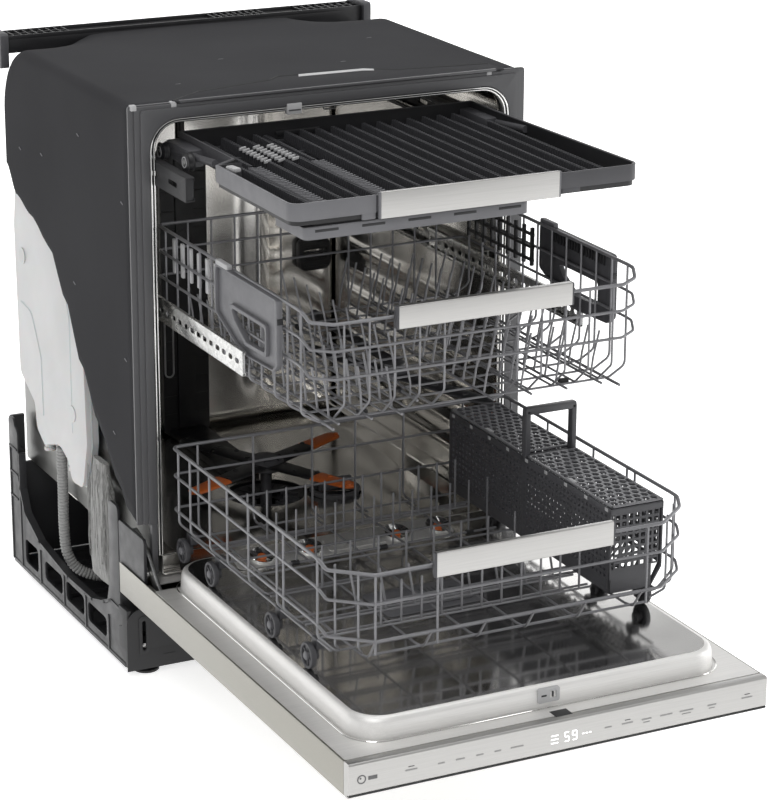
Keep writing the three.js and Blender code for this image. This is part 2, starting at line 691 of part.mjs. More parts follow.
function makeThirdRackTray() {
  const { half, tail, front, rear, under, rim, wall, dip } = THIRD;
  const body = floorPlate(thirdRackOutline(0), under, rim);
  const hollow = floorPlate(thirdRackOutline(wall), under + 4, rim + 1);
  const slots = [];
  for (const x of [-190, -85, 20, 125]) {
    for (const y of [-340, -150]) slots.push(box(x, x + 60, y, y + 160, under - 1, under + 5));
  }
  const dipOutline = [[-72, rim + 1], [-64, dip], [-22, dip], [-6, rim + 1]];
  const backDip = frontPlate(dipOutline, -rear - wall - 1, -rear + 1);
  const band = box(-half + 24, half - 24, -front + 6, -front + 12, 738, under + 1);
  const carriers = [-52, 25].flatMap((y) => [-1, 1].map((side) =>
    cylinder("x", 11, [side * (tail + 17), y, 768], 37, 12)));
  return join([cut(body, [hollow, backDip, ...slots]), band, ...carriers]);
}

// ---- Assembly ----

const dishwasher = new THREE.Group();
dishwasher.position.y = CENTRE_OFFSET;

const cabinet = new THREE.Group();
const door = new THREE.Group();
const lowerRack = new THREE.Group();
const middleRack = new THREE.Group();
const thirdRack = new THREE.Group();
door.add(lowerRack);
dishwasher.add(cabinet, door, middleRack, thirdRack);

node(cabinet, "tub", makeTub(), stainless);
node(cabinet, "front_frame", makeFrontFrame(), charcoalPaint);
node(cabinet, "tub_gasket", makeTubGasket(), rubber);
node(cabinet, "sound_blanket", makeSoundBlanket(), blanketFelt);
node(cabinet, "rear_top_bar", makeRearTopBar(), blackPlastic);
node(cabinet, "base_tray", makeBaseTray(), blackPlastic);
node(cabinet, "kick_plate", makeKickPlate(), blackPaint);
for (const [end, y] of [["front", 82], ["rear", 520]]) {
  for (const [side, x] of [["left", -262], ["right", 262]]) {
    node(cabinet, `foot_${end}_${side}`, makeFoot(x, y), blackPlastic);
  }
}
node(cabinet, "counterweight", box(-130, 130, 470, 530, 20 + GAP, 78), castIron);
node(cabinet, "water_guide", makeWaterGuide(), whitePlastic);
node(cabinet, "drain_hose", makeDrainHose(), hoseGrey);
node(cabinet, "fibre_pad", box(-290, -270, 150, 232, 104, 285), fibre);
node(cabinet, "circulation_pump", makeCirculationPump(), darkPlastic);
node(cabinet, "sump", makeSump(), blackPlastic);
node(cabinet, "feed_duct", makeFeedDuct(), blackPlastic);
node(cabinet, "latch_strike", makeLatchStrike(), galvanised);
node(cabinet, "filter_cup", makeFilterCup(), greyPlastic);
const lowerHub = { radius: 27, z0: 211 + GAP, z1: 233 };
node(cabinet, "lower_spray_arm", sprayArm(SUMP.x, SUMP.y, LOWER_ARM, lowerHub), blackPlastic);
const topHub = { radius: 18, z0: 793, z1: 803 - GAP };
node(cabinet, "top_spray_arm", sprayArm(0, 270, TOP_ARM, topHub), blackPlastic);

for (const [side, sign] of [["left", -1], ["right", 1]]) {
  node(cabinet, `middle_rail_${side}`, runner(sign, 252.3, 263.7, 40, 545, 532, 568, 1.5), galvanised);
  node(middleRack, `middle_slide_${side}`, runner(sign, 247, 252, -250, 200, 533, 567, 1.5), galvanised);
  node(thirdRack, `third_rail_${side}`, runner(sign, 250, 263.7, -100, 350, 728, 762, 2), blackPaint);
  node(middleRack, `rack_adjuster_${side}`, makeRackAdjuster(sign), greyPlastic);
  node(door, `hinge_arm_${side}`, makeHingeArm(sign), galvanised);
  WHEEL.places.forEach((y, index) => {
    node(lowerRack, `lower_wheel_${side}_${index + 1}`, makeWheel(sign, y), darkPlastic);
  });
}

node(thirdRack, "third_rack_tray", makeThirdRackTray(), greyPlastic);
node(thirdRack, "third_rack_handle", handle(129, -THIRD.front - 5.3, 5, 760, 795), brushed);

node(middleRack, "middle_rack_frame", makeMiddleRackFrame(), coatedWire);
node(middleRack, "middle_rack_handle", handle(126, -MIDDLE.front - 12.8, 10, 630, 660), brushed);
node(middleRack, "middle_feed_tube", makeMiddleFeedTube(), blackPlastic);
const middleHub = { radius: 20, z0: 476, z1: 490 - GAP };
node(middleRack, "middle_spray_arm", sprayArm(0, -180, MIDDLE_ARM, middleHub), blackPlastic);
node(middleRack, "middle_tine_row", makeMiddleTineRow(), coatedWire);

node(door, "door_outer_panel", makeDoorOuterPanel(), brushed);
node(door, "door_liner", makeDoorLiner(), stainless);
node(door, "control_panel", makeControlPanel(), brushed);
node(door, "door_latch", makeDoorLatch(), greyPlastic);
node(door, "dispenser_body", makeDispenserBody(), greyPlastic);
const lidTop = PAN_TOP + 2.3 + GAP;
node(door, "dispenser_lid", box(-16, 54, -320, -258, lidTop, lidTop + 3), greyPlastic);
node(door, "steam_bar", makeSteamBar(), chrome);

node(lowerRack, "lower_rack_frame", makeLowerRackFrame(), coatedWire);
node(lowerRack, "lower_rack_handle", handle(129, -LOWER.front - 11, 8, 342, 375), brushed);
node(lowerRack, "cutlery_basket", makeCutleryBasket(), darkPlastic);
const { handle: handleY, front: basketFront, rear: basketRear } = BASKET;
node(lowerRack, "basket_lid_front", makeBasketLid(basketFront + 1, handleY - 7 - GAP), darkPlastic);
node(lowerRack, "basket_lid_rear", makeBasketLid(handleY + 7 + GAP, basketRear - 1), darkPlastic);
node(lowerRack, "lower_tine_row", makeLowerTineRow(), coatedWire);

export default dishwasher;
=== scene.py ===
"""A built-in dishwasher with its door lowered and its three racks pulled out, dressed over its CAD frame."""
import math
import random

import bmesh
import bpy
from mathutils import Euler, Matrix, Vector, noise


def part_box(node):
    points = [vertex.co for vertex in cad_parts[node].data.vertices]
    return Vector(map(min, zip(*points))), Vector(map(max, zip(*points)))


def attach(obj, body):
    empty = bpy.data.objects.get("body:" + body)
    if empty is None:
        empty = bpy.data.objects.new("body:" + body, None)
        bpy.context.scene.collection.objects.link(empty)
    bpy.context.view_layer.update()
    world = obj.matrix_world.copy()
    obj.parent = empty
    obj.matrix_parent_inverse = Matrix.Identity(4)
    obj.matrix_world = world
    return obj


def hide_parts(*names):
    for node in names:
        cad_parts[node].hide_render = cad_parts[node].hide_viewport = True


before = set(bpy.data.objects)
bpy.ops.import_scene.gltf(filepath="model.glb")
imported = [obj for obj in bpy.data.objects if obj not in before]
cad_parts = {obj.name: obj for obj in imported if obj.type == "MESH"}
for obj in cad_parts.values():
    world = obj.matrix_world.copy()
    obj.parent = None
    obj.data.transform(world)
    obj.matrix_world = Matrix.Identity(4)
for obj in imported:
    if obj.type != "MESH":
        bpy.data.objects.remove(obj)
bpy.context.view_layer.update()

# Lengths are in millimetres: x from the machine's middle, y behind the front frame, z above the floor.
MM = 0.001
FRONT_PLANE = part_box("front_frame")[0].y


def place(x, y, z):
    return Vector((x * MM, FRONT_PLANE + y * MM, z * MM))


# ---- Camera and light ----

CAMERA_LENS, CAMERA_PLACE = 129.85, (-1.6688, -3.4214, 1.6617)
CAMERA_PITCH, CAMERA_ROLL, CAMERA_YAW = 90 - 18.26, -0.23, -26.63


def add_camera():
    data = bpy.data.cameras.new("camera")
    data.lens = CAMERA_LENS
    camera = bpy.data.objects.new("camera", data)
    camera.location = CAMERA_PLACE
    camera.rotation_euler = Euler([math.radians(a) for a in (CAMERA_PITCH, CAMERA_ROLL, CAMERA_YAW)])
    bpy.context.collection.objects.link(camera)
    bpy.context.scene.camera = camera


def add_area_light(name, location, target, size, power):
    data = bpy.data.lights.new(name, "AREA")
    data.shape = "RECTANGLE"
    data.size, data.size_y = size
    data.energy = power
    light = bpy.data.objects.new(name, data)
    light.location = location
    aim = Vector(target) - Vector(location)
    light.rotation_euler = aim.to_track_quat("-Z", "Y").to_euler()
    bpy.context.collection.objects.link(light)


def add_screen(name, corners, material):
    """A flat sheet that stands for the studio's floor or for one of its walls."""
    mesh = bpy.data.meshes.new(name)
    mesh.from_pydata(corners, [], [(0, 1, 2, 3)])
    mesh.materials.append(material)
    screen = bpy.data.objects.new(name, mesh)
    bpy.context.collection.objects.link(screen)


def add_studio():
    world = bpy.data.worlds.new("studio")
    bpy.context.scene.world = world
    world.use_nodes = True
    background = world.node_tree.nodes["Background"]
    background.inputs["Color"].default_value = (1, 1, 1, 1)
    background.inputs["Strength"].default_value = 0.5
    add_area_light("key", (-1.6, -2.2, 2.6), (0, 0, 0.45), (1.4, 1.4), 30)
    add_area_light("top", (0.2, 0.2, 3.0), (0, 0, 0.4), (2.4, 1.6), 30)
    add_area_light("right", (2.6, -1.4, 1.4), (0, 0, 0.4), (0.8, 2.0), 16)
    reach, back, height = 12, 6, 3.2
    white = glowing("studio_white", "#f2f2f2", 0.8)
    add_screen("floor", [(-reach, -reach, 0), (reach, -reach, 0), (reach, reach, 0), (-reach, reach, 0)],
               white)
    add_screen("back_screen", [(-reach, back, 0), (reach, back, 0), (reach, back, height),
                               (-reach, back, height)], white)
    add_screen("side_screen", [(back, back, 0), (back, -2, 0), (back, -2, height), (back, back, height)],
               white)
    bpy.context.scene.view_settings.view_transform = "Standard"


# ---- Materials ----

def tone(code):
    """A colour such as #8a8a8c as linear red, green, blue and alpha."""
    channels = [int(code[i:i + 2], 16) / 255 for i in (1, 3, 5)]
    return [c / 12.92 if c <= 0.04045 else ((c + 0.055) / 1.055) ** 2.4 for c in channels] + [1]


class Surface:
    """A Principled material and the few node patterns that are laid over it."""

    def __init__(self, name, code, roughness, metallic=0.0, **sockets):
        self.material = bpy.data.materials.new(name)
        self.material.use_nodes = True
        self.nodes = self.material.node_tree.nodes
        self.links = self.material.node_tree.links
        self.shader = self.nodes["Principled BSDF"]
        self.colour = tone(code)
        self.roughness = roughness
        self.set("Base Color", self.colour)
        self.set("Roughness", roughness)
        self.set("Metallic", metallic)
        for socket, value in sockets.items():
            self.set(socket.replace("_", " "), value)
        self.normal = None

    def set(self, socket, value):
        self.shader.inputs[socket].default_value = value

    def pattern(self, scale, detail=4.0, stretch=(1, 1, 1), kind="NOISE"):
        """The value of a pattern fixed to the piece; stretch is how much finer it is along each axis."""
        place_node = self.nodes.new("ShaderNodeTexCoord")
        mapping = self.nodes.new("ShaderNodeMapping")
        mapping.inputs["Scale"].default_value = stretch
        self.links.new(place_node.outputs["Object"], mapping.inputs["Vector"])
        if kind == "NOISE":
            texture = self.nodes.new("ShaderNodeTexNoise")
            texture.inputs["Detail"].default_value = detail
            out = texture.outputs["Fac"]
        else:
            texture = self.nodes.new("ShaderNodeTexVoronoi")
            out = texture.outputs["Color"]
        texture.inputs["Scale"].default_value = scale
        self.links.new(mapping.outputs["Vector"], texture.inputs["Vector"])
        return out

    def vary_colour(self, value, low, high):
        """The base colour times a factor from low to high as the pattern goes from 0.3 to 0.7."""
        ramp = self.nodes.new("ShaderNodeMapRange")
        ramp.inputs["From Min"].default_value = 0.3
        ramp.inputs["From Max"].default_value = 0.7
        ramp.inputs["To Min"].default_value = low
        ramp.inputs["To Max"].default_value = high
        self.links.new(value, ramp.inputs["Value"])
        mix = self.nodes.new("ShaderNodeVectorMath")
        mix.operation = "SCALE"
        mix.inputs[0].default_value = self.colour[:3]
        self.links.new(ramp.outputs["Result"], mix.inputs["Scale"])
        self.links.new(mix.outputs["Vector"], self.shader.inputs["Base Color"])
        return self

    def vary_roughness(self, value, spread):
        ramp = self.nodes.new("ShaderNodeMapRange")
        ramp.inputs["From Min"].default_value = 0.3
        ramp.inputs["From Max"].default_value = 0.7
        ramp.inputs["To Min"].default_value = max(0.02, self.roughness - spread)
        ramp.inputs["To Max"].default_value = min(1.0, self.roughness + spread)
        self.links.new(value, ramp.inputs["Value"])
        self.links.new(ramp.outputs["Result"], self.shader.inputs["Roughness"])
        return self

    def bump(self, value, height, strength=1.0):
        """Raises the surface by up to that many millimetres."""
        node = self.nodes.new("ShaderNodeBump")
        node.inputs["Distance"].default_value = height * MM
        node.inputs["Strength"].default_value = strength
        self.links.new(value, node.inputs["Height"])
        if self.normal:
            self.links.new(self.normal, node.inputs["Normal"])
        self.normal = node.outputs["Normal"]
        self.links.new(self.normal, self.shader.inputs["Normal"])
        return self


def plain(name, code, roughness):
    surface = Surface(name, code, roughness)
    surface.vary_roughness(surface.pattern(3), 0.03)
    return surface.material


def moulded(name, code, roughness=0.5, grain=0.04):
    """Moulded plastic with a fine spark-eroded grain and slightly uneven gloss."""
    surface = Surface(name, code, roughness, Specular_IOR_Level=0.45)
    surface.vary_colour(surface.pattern(18, 5), 0.94, 1.06)
    surface.vary_roughness(surface.pattern(60, 3), 0.06)
    surface.bump(surface.pattern(1400, 2), grain)
    return surface.material


def brushed(name, code, roughness, along, grain=0.02):
    """Metal brushed along x, y or z: the streaks are long that way and fine across it."""
    stretch = [26.0, 26.0, 26.0]
    stretch["xyz".index(along)] = 0.35
    surface = Surface(name, code, roughness, 1.0)
    streaks = surface.pattern(42, 5, stretch)
    surface.vary_colour(streaks, 0.93, 1.05)
    surface.vary_roughness(streaks, 0.07)
    surface.bump(streaks, grain, 0.4)
    return surface.material


def polished(name, code, roughness, haze=0.04, wave=0.15):
    """Bright rolled steel: clear reflections, a little haze and a faint wave from forming."""
    surface = Surface(name, code, roughness, 1.0)
    surface.vary_roughness(surface.pattern(9, 4), haze)
    surface.bump(surface.pattern(7, 1), wave, 0.5)
    return surface.material


def zinc_plated(name, code, roughness=0.34):
    surface = Surface(name, code, roughness, 0.95)
    surface.vary_colour(surface.pattern(260, kind="VORONOI"), 0.88, 1.08)
    surface.vary_roughness(surface.pattern(30, 5), 0.1)
    return surface.material


def enamelled(name, code, roughness=0.42):
    """Satin powder coat with a light orange-peel."""
    surface = Surface(name, code, roughness, 0.0, Specular_IOR_Level=0.5)
    surface.vary_colour(surface.pattern(6, 3), 0.96, 1.04)
    surface.bump(surface.pattern(420, 2), 0.05, 0.5)
    return surface.material


def coated_wire(name, code):
    surface = Surface(name, code, 0.36, 0.35, Coat_Weight=0.2, Coat_Roughness=0.25)
    surface.vary_colour(surface.pattern(25, 4), 0.9, 1.06)
    surface.vary_roughness(surface.pattern(120, 3), 0.06)
    return surface.material


def felt(name, code):
    """Matt bitumen felt: short flat fibres, faint scuffs and broad shading."""
    surface = Surface(name, code, 0.92, 0.0, Specular_IOR_Level=0.12)
    surface.vary_colour(surface.pattern(5, 6), 0.9, 1.08)
    surface.bump(surface.pattern(900, 3), 0.12)
    surface.bump(surface.pattern(14, 3), 1.0, 0.4)
    return surface.material


def fibre_wool(name, code):
    """Combed grey fibre in long upright streaks, light and dark strands side by side."""
    surface = Surface(name, code, 0.95, 0.0, Sheen_Weight=0.3)
    strands = surface.pattern(60, 6, (9, 9, 0.5))
    surface.vary_colour(strands, 0.35, 1.6)
    surface.bump(strands, 1.2)
    return surface.material


def translucent(name, code):
    """Milky polypropylene."""
    surface = Surface(name, code, 0.38, 0.0, Subsurface_Weight=0.25, Subsurface_Scale=0.01)
    surface.vary_colour(surface.pattern(11, 4), 0.93, 1.03)
    surface.bump(surface.pattern(40, 3), 0.2, 0.5)
    return surface.material


def glowing(name, code, power):
    surface = Surface(name, code, 0.4)
    surface.set("Emission Color", tone(code))
    surface.set("Emission Strength", power)
    return surface.material


STEEL_TUB = polished("polished_tub", "#d6d4d0", 0.15, 0.05, 0.35)
STEEL_OUTSIDE = brushed("mill_finish", "#8f8f8d", 0.46, "z", 0.01)
STEEL_DOOR = brushed("brushed_door", "#98968f", 0.34, "x")
STEEL_STRIP = brushed("satin_strip", "#b3b2b0", 0.38, "x", 0.006)
STEEL_PAN = polished("satin_pan", "#dcdbd9", 0.1, 0.02, 0.08)
STEEL_FLANGE = brushed("satin_flange", "#e4e3e1", 0.55, "x", 0.006)
STEEL_GRIP = brushed("satin_grip", "#b5b4b2", 0.36, "x", 0.006)
ZINC = zinc_plated("zinc_plate", "#a9a9a8")
ZINC_BRIGHT = zinc_plated("bright_zinc", "#c6c6c4", 0.26)
CHROME = polished("chrome", "#e2e2e0", 0.06, 0.02, 0.05)
CHARCOAL = enamelled("charcoal_enamel", "#4b4b4d")
BLACK_SHEET = enamelled("black_enamel", "#1f1f21", 0.55)
BLACK = moulded("black_moulding", "#1b1b1d", 0.45)
BASE_BLACK = moulded("base_moulding", "#29292b", 0.4)
GRAPHITE = moulded("graphite_moulding", "#3f3f42", 0.48)
BASKET_GREY = moulded("basket_moulding", "#47474a", 0.42)
LID_GREY = moulded("lid_moulding", "#6e6e71", 0.42)
MID_GREY = moulded("grey_moulding", "#636366", 0.48)
LIGHT_GREY = moulded("light_grey_moulding", "#a9a9aa", 0.45)
PALE = moulded("pale_moulding", "#d5d5d3", 0.42)
ORANGE = moulded("orange_moulding", "#c9652a", 0.42)
WIRE = coated_wire("coated_wire", "#747477")
FELT = felt("bitumen_felt", "#343436")
WOOL = fibre_wool("fibre_wool", "#7c7c7a")
TANK = translucent("milky_tank", "#bababa")
RUBBER = moulded("seal_rubber", "#1d1d1e", 0.6, 0.08)
HOSE = moulded("hose_grey", "#8f8f8e", 0.5)
IRON = moulded("cast_iron", "#4c4c50", 0.7, 0.3)
MARKS = plain("printed_marks", "#8b8b8a", 0.5)
MARKS_DARK = plain("dark_marks", "#5a5a5b", 0.5)
DIGITS = glowing("display_light", "#ffffff", 1.6)


# ---- Shapes ----

def rounded(points, radius, steps=4, closed=False):
    """A line of points with its corners turned into short arcs."""
    path = [Vector(p) for p in points]
    count = len(path)
    result = []
    for i, corner in enumerate(path):
        if not closed and i in (0, count - 1):
            result.append(corner)
            continue
        back = path[i - 1] - corner
        ahead = path[(i + 1) % count] - corner
        if back.length < 1e-6 or ahead.length < 1e-6 or back.angle(ahead) > math.pi - 0.05:
            result.append(corner)
            continue
        cut = min(radius / max(math.tan(back.angle(ahead) / 2), 0.2), back.length * 0.49, ahead.length * 0.49)
        start = corner + back.normalized() * cut
        end = corner + ahead.normalized() * cut
        for k in range(steps + 1):
            t = k / steps
            result.append(start.lerp(corner, t).lerp(corner.lerp(end, t), t))
    return result


def arc(cx, cy, radius, start, end, steps=8):
    """Points on an arc in a plane; the angles are in degrees."""
    angles = [math.radians(start + (end - start) * k / steps) for k in range(steps + 1)]
    return [(cx + radius * math.cos(a), cy + radius * math.sin(a)) for a in angles]


def round_box(x, y, radius, steps=5):
    """A rectangle with round corners, as points in a plane."""
    (x0, x1), (y0, y1) = x, y
    return (arc(x1 - radius, y0 + radius, radius, -90, 0, steps) + arc(x1 - radius, y1 - radius, radius, 0,
                                                                       90, steps)
            + arc(x0 + radius, y1 - radius, radius, 90, 180, steps)
            + arc(x0 + radius, y0 + radius, radius, 180, 270, steps))


def arch(half, foot, top, radius, steps=8):
    """The outline of an upright opening with round upper corners."""
    return ([(-half, foot), (half, foot)] + arc(half - radius, top - radius, radius, 0, 90, steps)
            + arc(-half + radius, top - radius, radius, 90, 180, steps))


def spaced(start, end, count):
    return [start + (end - start) * i / (count - 1) for i in range(count)]


def mirrored(side, near, far):
    """The low and high ends along x of a stretch on the right (side 1) or the left (side -1)."""
    return sorted((side * near, side * far))


def scaled(outline, centre, factor):
    """An outline grown or shrunk about a point."""
    centre = Vector(centre)
    return [centre + (p - centre) * factor for p in outline]


class Part:
    """One visible piece: shapes in millimetres are gathered into a single mesh that rides on a CAD body."""

    def __init__(self, name, body, *materials):
        self.name = name
        self.body = body
        self.materials = materials
        self.mesh = bmesh.new()

    def point(self, p):
        return self.mesh.verts.new(place(*p))

    def keep(self, faces, material):
        for face in faces:
            if face.is_valid:
                face.material_index = material

    def box(self, x, y, z, material=0, bevel=0.0, turn=None):
        """A box, its edges rounded by bevel; turn is an angle in degrees, an axis and a centre."""
        made = bmesh.ops.create_cube(self.mesh, size=1)["verts"]
        middle = place((x[0] + x[1]) / 2, (y[0] + y[1]) / 2, (z[0] + z[1]) / 2)
        size = [abs(b - a) * MM for a, b in (x, y, z)]
        for vert in made:
            vert.co = middle + Vector([vert.co[i] * size[i] for i in range(3)])
        if turn:
            angle, axis, centre = turn
            matrix = Matrix.Rotation(math.radians(angle), 3, axis)
            bmesh.ops.rotate(self.mesh, verts=made, cent=place(*centre), matrix=matrix)
        faces = {face for vert in made for face in vert.link_faces}
        self.keep(faces, material)
        if bevel:
            edges = {edge for vert in made for edge in vert.link_edges}
            done = bmesh.ops.bevel(self.mesh, geom=list(edges), offset=min(bevel * MM, min(size) * 0.45),
                                   segments=2,
                                   affect="EDGES", profile=0.6, clamp_overlap=True)
            self.keep(done["faces"], material)

    def tube(self, points, radius, sides=8, material=0, closed=False, radii=None):
        """A round rod through the points; radii gives each point a radius of its own."""
        path = [place(*p) for p in points]
        count = len(path)
        sizes = radii or [radius] * count
        tangents = []
        for i in range(count):
            back = path[i] - path[i - 1] if i or closed else path[1] - path[0]
            ahead = path[(i + 1) % count] - path[i] if i < count - 1 or closed else back
            tangents.append((back.normalized() + ahead.normalized()).normalized())
        normal = tangents[0].orthogonal().normalized()
        rings = []
        for centre, tangent, size in zip(path, tangents, sizes):
            normal = (normal - tangent * normal.dot(tangent)).normalized()
            side = tangent.cross(normal)
            turns = [2 * math.pi * k / sides for k in range(sides)]
            spokes = [normal * math.cos(a) + side * math.sin(a) for a in turns]
            rings.append([self.mesh.verts.new(centre + spoke * size * MM) for spoke in spokes])
        pairs = list(zip(rings, rings[1:])) + ([(rings[-1], rings[0])] if closed else [])
        faces = []
        for first, second in pairs:
            offset = 0
            if closed and second is rings[0]:
                gaps = [(first[0].co - vert.co).length for vert in second]
                offset = gaps.index(min(gaps))
            for k in range(sides):
                a, b = second[(k + offset) % sides], second[(k + 1 + offset) % sides]
                faces.append(self.mesh.faces.new((first[k], first[(k + 1) % sides], b, a)))
        if not closed:
            faces.append(self.mesh.faces.new(rings[0][::-1]))
            faces.append(self.mesh.faces.new(rings[-1]))
        self.keep(faces, material)

    def turned(self, profile, centre, axis="z", steps=24, material=0, closed=False):
        """A profile of (radius, height) turned about a line through centre."""
        start = place(*centre)
        basis = {"x": (Vector((0, 1, 0)), Vector((0, 0, 1)), Vector((1, 0, 0))),
                 "y": (Vector((0, 0, 1)), Vector((1, 0, 0)), Vector((0, 1, 0))),
                 "z": (Vector((1, 0, 0)), Vector((0, 1, 0)), Vector((0, 0, 1)))}[axis]
        rings = []
        for radius, height in profile:
            if radius < 1e-4:
                rings.append([self.mesh.verts.new(start + basis[2] * height * MM)])
                continue
            turns = [2 * math.pi * k / steps for k in range(steps)]
            spokes = [basis[0] * math.cos(a) + basis[1] * math.sin(a) for a in turns]
            rings.append([self.mesh.verts.new(start + spoke * radius * MM + basis[2] * height * MM)
                          for spoke in spokes])
        faces = []
        for first, second in zip(rings, rings[1:] + (rings[:1] if closed else [])):
            for k in range(steps):
                corners = [first[k % len(first)], first[(k + 1) % len(first)], second[(k + 1) % len(second)],
                           second[k % len(second)]]
                unique = list(dict.fromkeys(corners))
                if len(unique) > 2:
                    faces.append(self.mesh.faces.new(unique))
        self.keep(faces, material)

    def plate(self, axis, outline, low, high, holes=(), material=0, bevel=0.0):
        """A plate across x, y or z from low to high; outline and holes give the two other axes in order."""
        def lift(a, b, c):
            return {"x": (c, a, b), "y": (a, c, b), "z": (a, b, c)}[axis]
        edges = []
        for loop in [outline, *holes]:
            verts = [self.point(lift(a, b, low)) for a, b in loop]
            edges += [self.mesh.edges.new((verts[i - 1], verts[i])) for i in range(len(verts))]
        filled = bmesh.ops.triangle_fill(self.mesh, use_beauty=True, edges=edges)["geom"]
        base = [g for g in filled if isinstance(g, bmesh.types.BMFace)]
        grown = bmesh.ops.extrude_face_region(self.mesh, geom=base)["geom"]
        move = (Vector(lift(0, 0, high)) - Vector(lift(0, 0, low))) * MM
        top = [g for g in grown if isinstance(g, bmesh.types.BMVert)]
        bmesh.ops.translate(self.mesh, verts=top, vec=move)
        faces = {face for vert in top for face in vert.link_faces} | set(base)
        self.keep(faces, material)
        if bevel:
            flat = {"x": 0, "y": 1, "z": 2}[axis]
            for face in faces:
                face.normal_update()
            rim = [e for face in faces for e in face.edges
                   if len(e.link_faces) == 2 and (abs(e.link_faces[0].normal[flat]) > 0.5)
                   != (abs(e.link_faces[1].normal[flat]) > 0.5)]
            done = bmesh.ops.bevel(self.mesh, geom=list(set(rim)), offset=bevel * MM, segments=2,
                                   affect="EDGES",
                                   profile=0.6, clamp_overlap=True)
            self.keep(done["faces"], material)

    def lattice(self, axis, cells, at, bar, depth, material=0):
        """A flat sheet pierced by cells, each a loop of points; bar is the width left between them."""
        def lift(a, b, level):
            high = at + level * depth / 2
            return {"x": (high, a, b), "y": (a, high, b), "z": (a, b, high)}[axis]
        shared, faces, rims = {}, [], {}

        def corner(spot, level):
            key = (round(spot[0], 2), round(spot[1], 2), level)
            if key not in shared:
                shared[key] = self.point(lift(*spot, level))
            return shared[key]

        for cell in cells:
            middle = sum((Vector(p) for p in cell), Vector((0, 0))) / len(cell)
            reach = min(((Vector(p) + Vector(q)) / 2 - middle).length for p,
                        q in zip(cell, cell[1:] + cell[:1]))
            share = 1 - bar / 2 / reach
            hole = [middle + (Vector(p) - middle) * share for p in cell]
            outer = {level: [corner(p, level) for p in cell] for level in (-1, 1)}
            inner = {level: [self.point(lift(*p, level)) for p in hole] for level in (-1, 1)}
            for k in range(len(cell)):
                j = (k + 1) % len(cell)
                for level in (-1, 1):
                    faces.append(self.mesh.faces.new((outer[level][k], outer[level][j], inner[level][j],
                                                      inner[level][k])))
                faces.append(self.mesh.faces.new((inner[-1][k], inner[-1][j], inner[1][j], inner[1][k])))
                rim = (outer[-1][k], outer[-1][j], outer[1][j], outer[1][k])
                rims.setdefault(frozenset(rim), []).append(rim)
        faces += [self.mesh.faces.new(found[0]) for found in rims.values() if len(found) == 1]
        self.keep(faces, material)

    def skin(self, rows, material=0, closed=False, caps=False):
        """A surface over rows of points; closed joins each row's ends, and caps fills the end rows."""
        grid = [[self.point(p) for p in row] for row in rows]
        faces = []
        for first, second in zip(grid, grid[1:]):
            for k in range(len(first) - (0 if closed else 1)):
                after = (k + 1) % len(first)
                faces.append(self.mesh.faces.new((first[k], first[after], second[after], second[k])))
        if caps:
            faces.append(self.mesh.faces.new(grid[0][::-1]))
            faces.append(self.mesh.faces.new(grid[-1]))
        self.keep(faces, material)

    def lean(self, angle, axis, centre):
        """Turns everything made so far about an axis through the centre."""
        bmesh.ops.rotate(self.mesh, verts=self.mesh.verts, cent=place(*centre),
                         matrix=Matrix.Rotation(math.radians(angle), 3, axis))

    def done(self, slot=None, replaces=(), angle=34):
        """Makes the mesh into a piece; edges that turn by more than angle degrees stay sharp."""
        bmesh.ops.recalc_face_normals(self.mesh, faces=self.mesh.faces)
        for face in self.mesh.faces:
            face.smooth = True
        for edge in self.mesh.edges:
            if len(edge.link_faces) == 2 and edge.calc_face_angle(0) > math.radians(angle):
                edge.smooth = False
        mesh = bpy.data.meshes.new(self.name)
        self.mesh.to_mesh(mesh)
        self.mesh.free()
        for material in self.materials:
            mesh.materials.append(material)
        piece = bpy.data.objects.new(self.name, mesh)
        bpy.context.collection.objects.link(piece)
        return settle(piece, self.body, replaces)


def thicken(piece, thickness, other_side=0):
    """Gives a skin its thickness; its second face's material comes other_side slots after the first."""
    modifier = piece.modifiers.new("thickness", "SOLIDIFY")
    modifier.thickness = thickness * MM
    modifier.offset = 0
    modifier.material_offset = other_side


def settle(piece, body, replaces=()):
    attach(piece, body)
    if replaces:
        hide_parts(*replaces)
    return piece


def hex_cells(a, b, size, squash=1.0):
    """Honeycomb cells that fill the rectangle a by b; squash is their height over their pitch along a."""
    (a0, a1), (b0, b1) = a, b
    columns = max(1, round((a1 - a0) / size))
    pitch = (a1 - a0) / columns
    height = pitch * squash
    rows = max(1, round((b1 - b0) / height))
    height = (b1 - b0) / rows
    dip = height * 0.3
    cells = []
    for row in range(rows):
        shift = pitch / 2 if row % 2 else 0
        low, high = b0 + row * height, b0 + (row + 1) * height
        for column in range(columns - (1 if row % 2 else 0)):
            left = a0 + column * pitch + shift
            mid, right = left + pitch / 2, left + pitch
            cells.append([(left, low + dip / 2), (mid, low - dip / 2), (right, low + dip / 2),
                          (right, high - dip / 2), (mid, high + dip / 2), (left, high - dip / 2)])
    return cells


def grid_cells(a, b, columns, rows):
    xs, ys = spaced(*a, columns + 1), spaced(*b, rows + 1)
    return [[(xs[i], ys[j]), (xs[i + 1], ys[j]), (xs[i + 1], ys[j + 1]), (xs[i], ys[j + 1])]
            for i in range(columns) for j in range(rows)]


def screw(part, centre, axis, radius=4.0, material=0):
    """A pan-head screw with a cross recess suggested by a shallow cup; the head points along the axis."""
    part.turned([(0, 1.2), (radius * 0.35, 1.2), (radius * 0.45, 2.2), (radius * 0.8, 2.0), (radius, 1.0),
                 (radius, 0)],
                centre, axis, 16, material)


# ---- Tub, frame and jacket ----

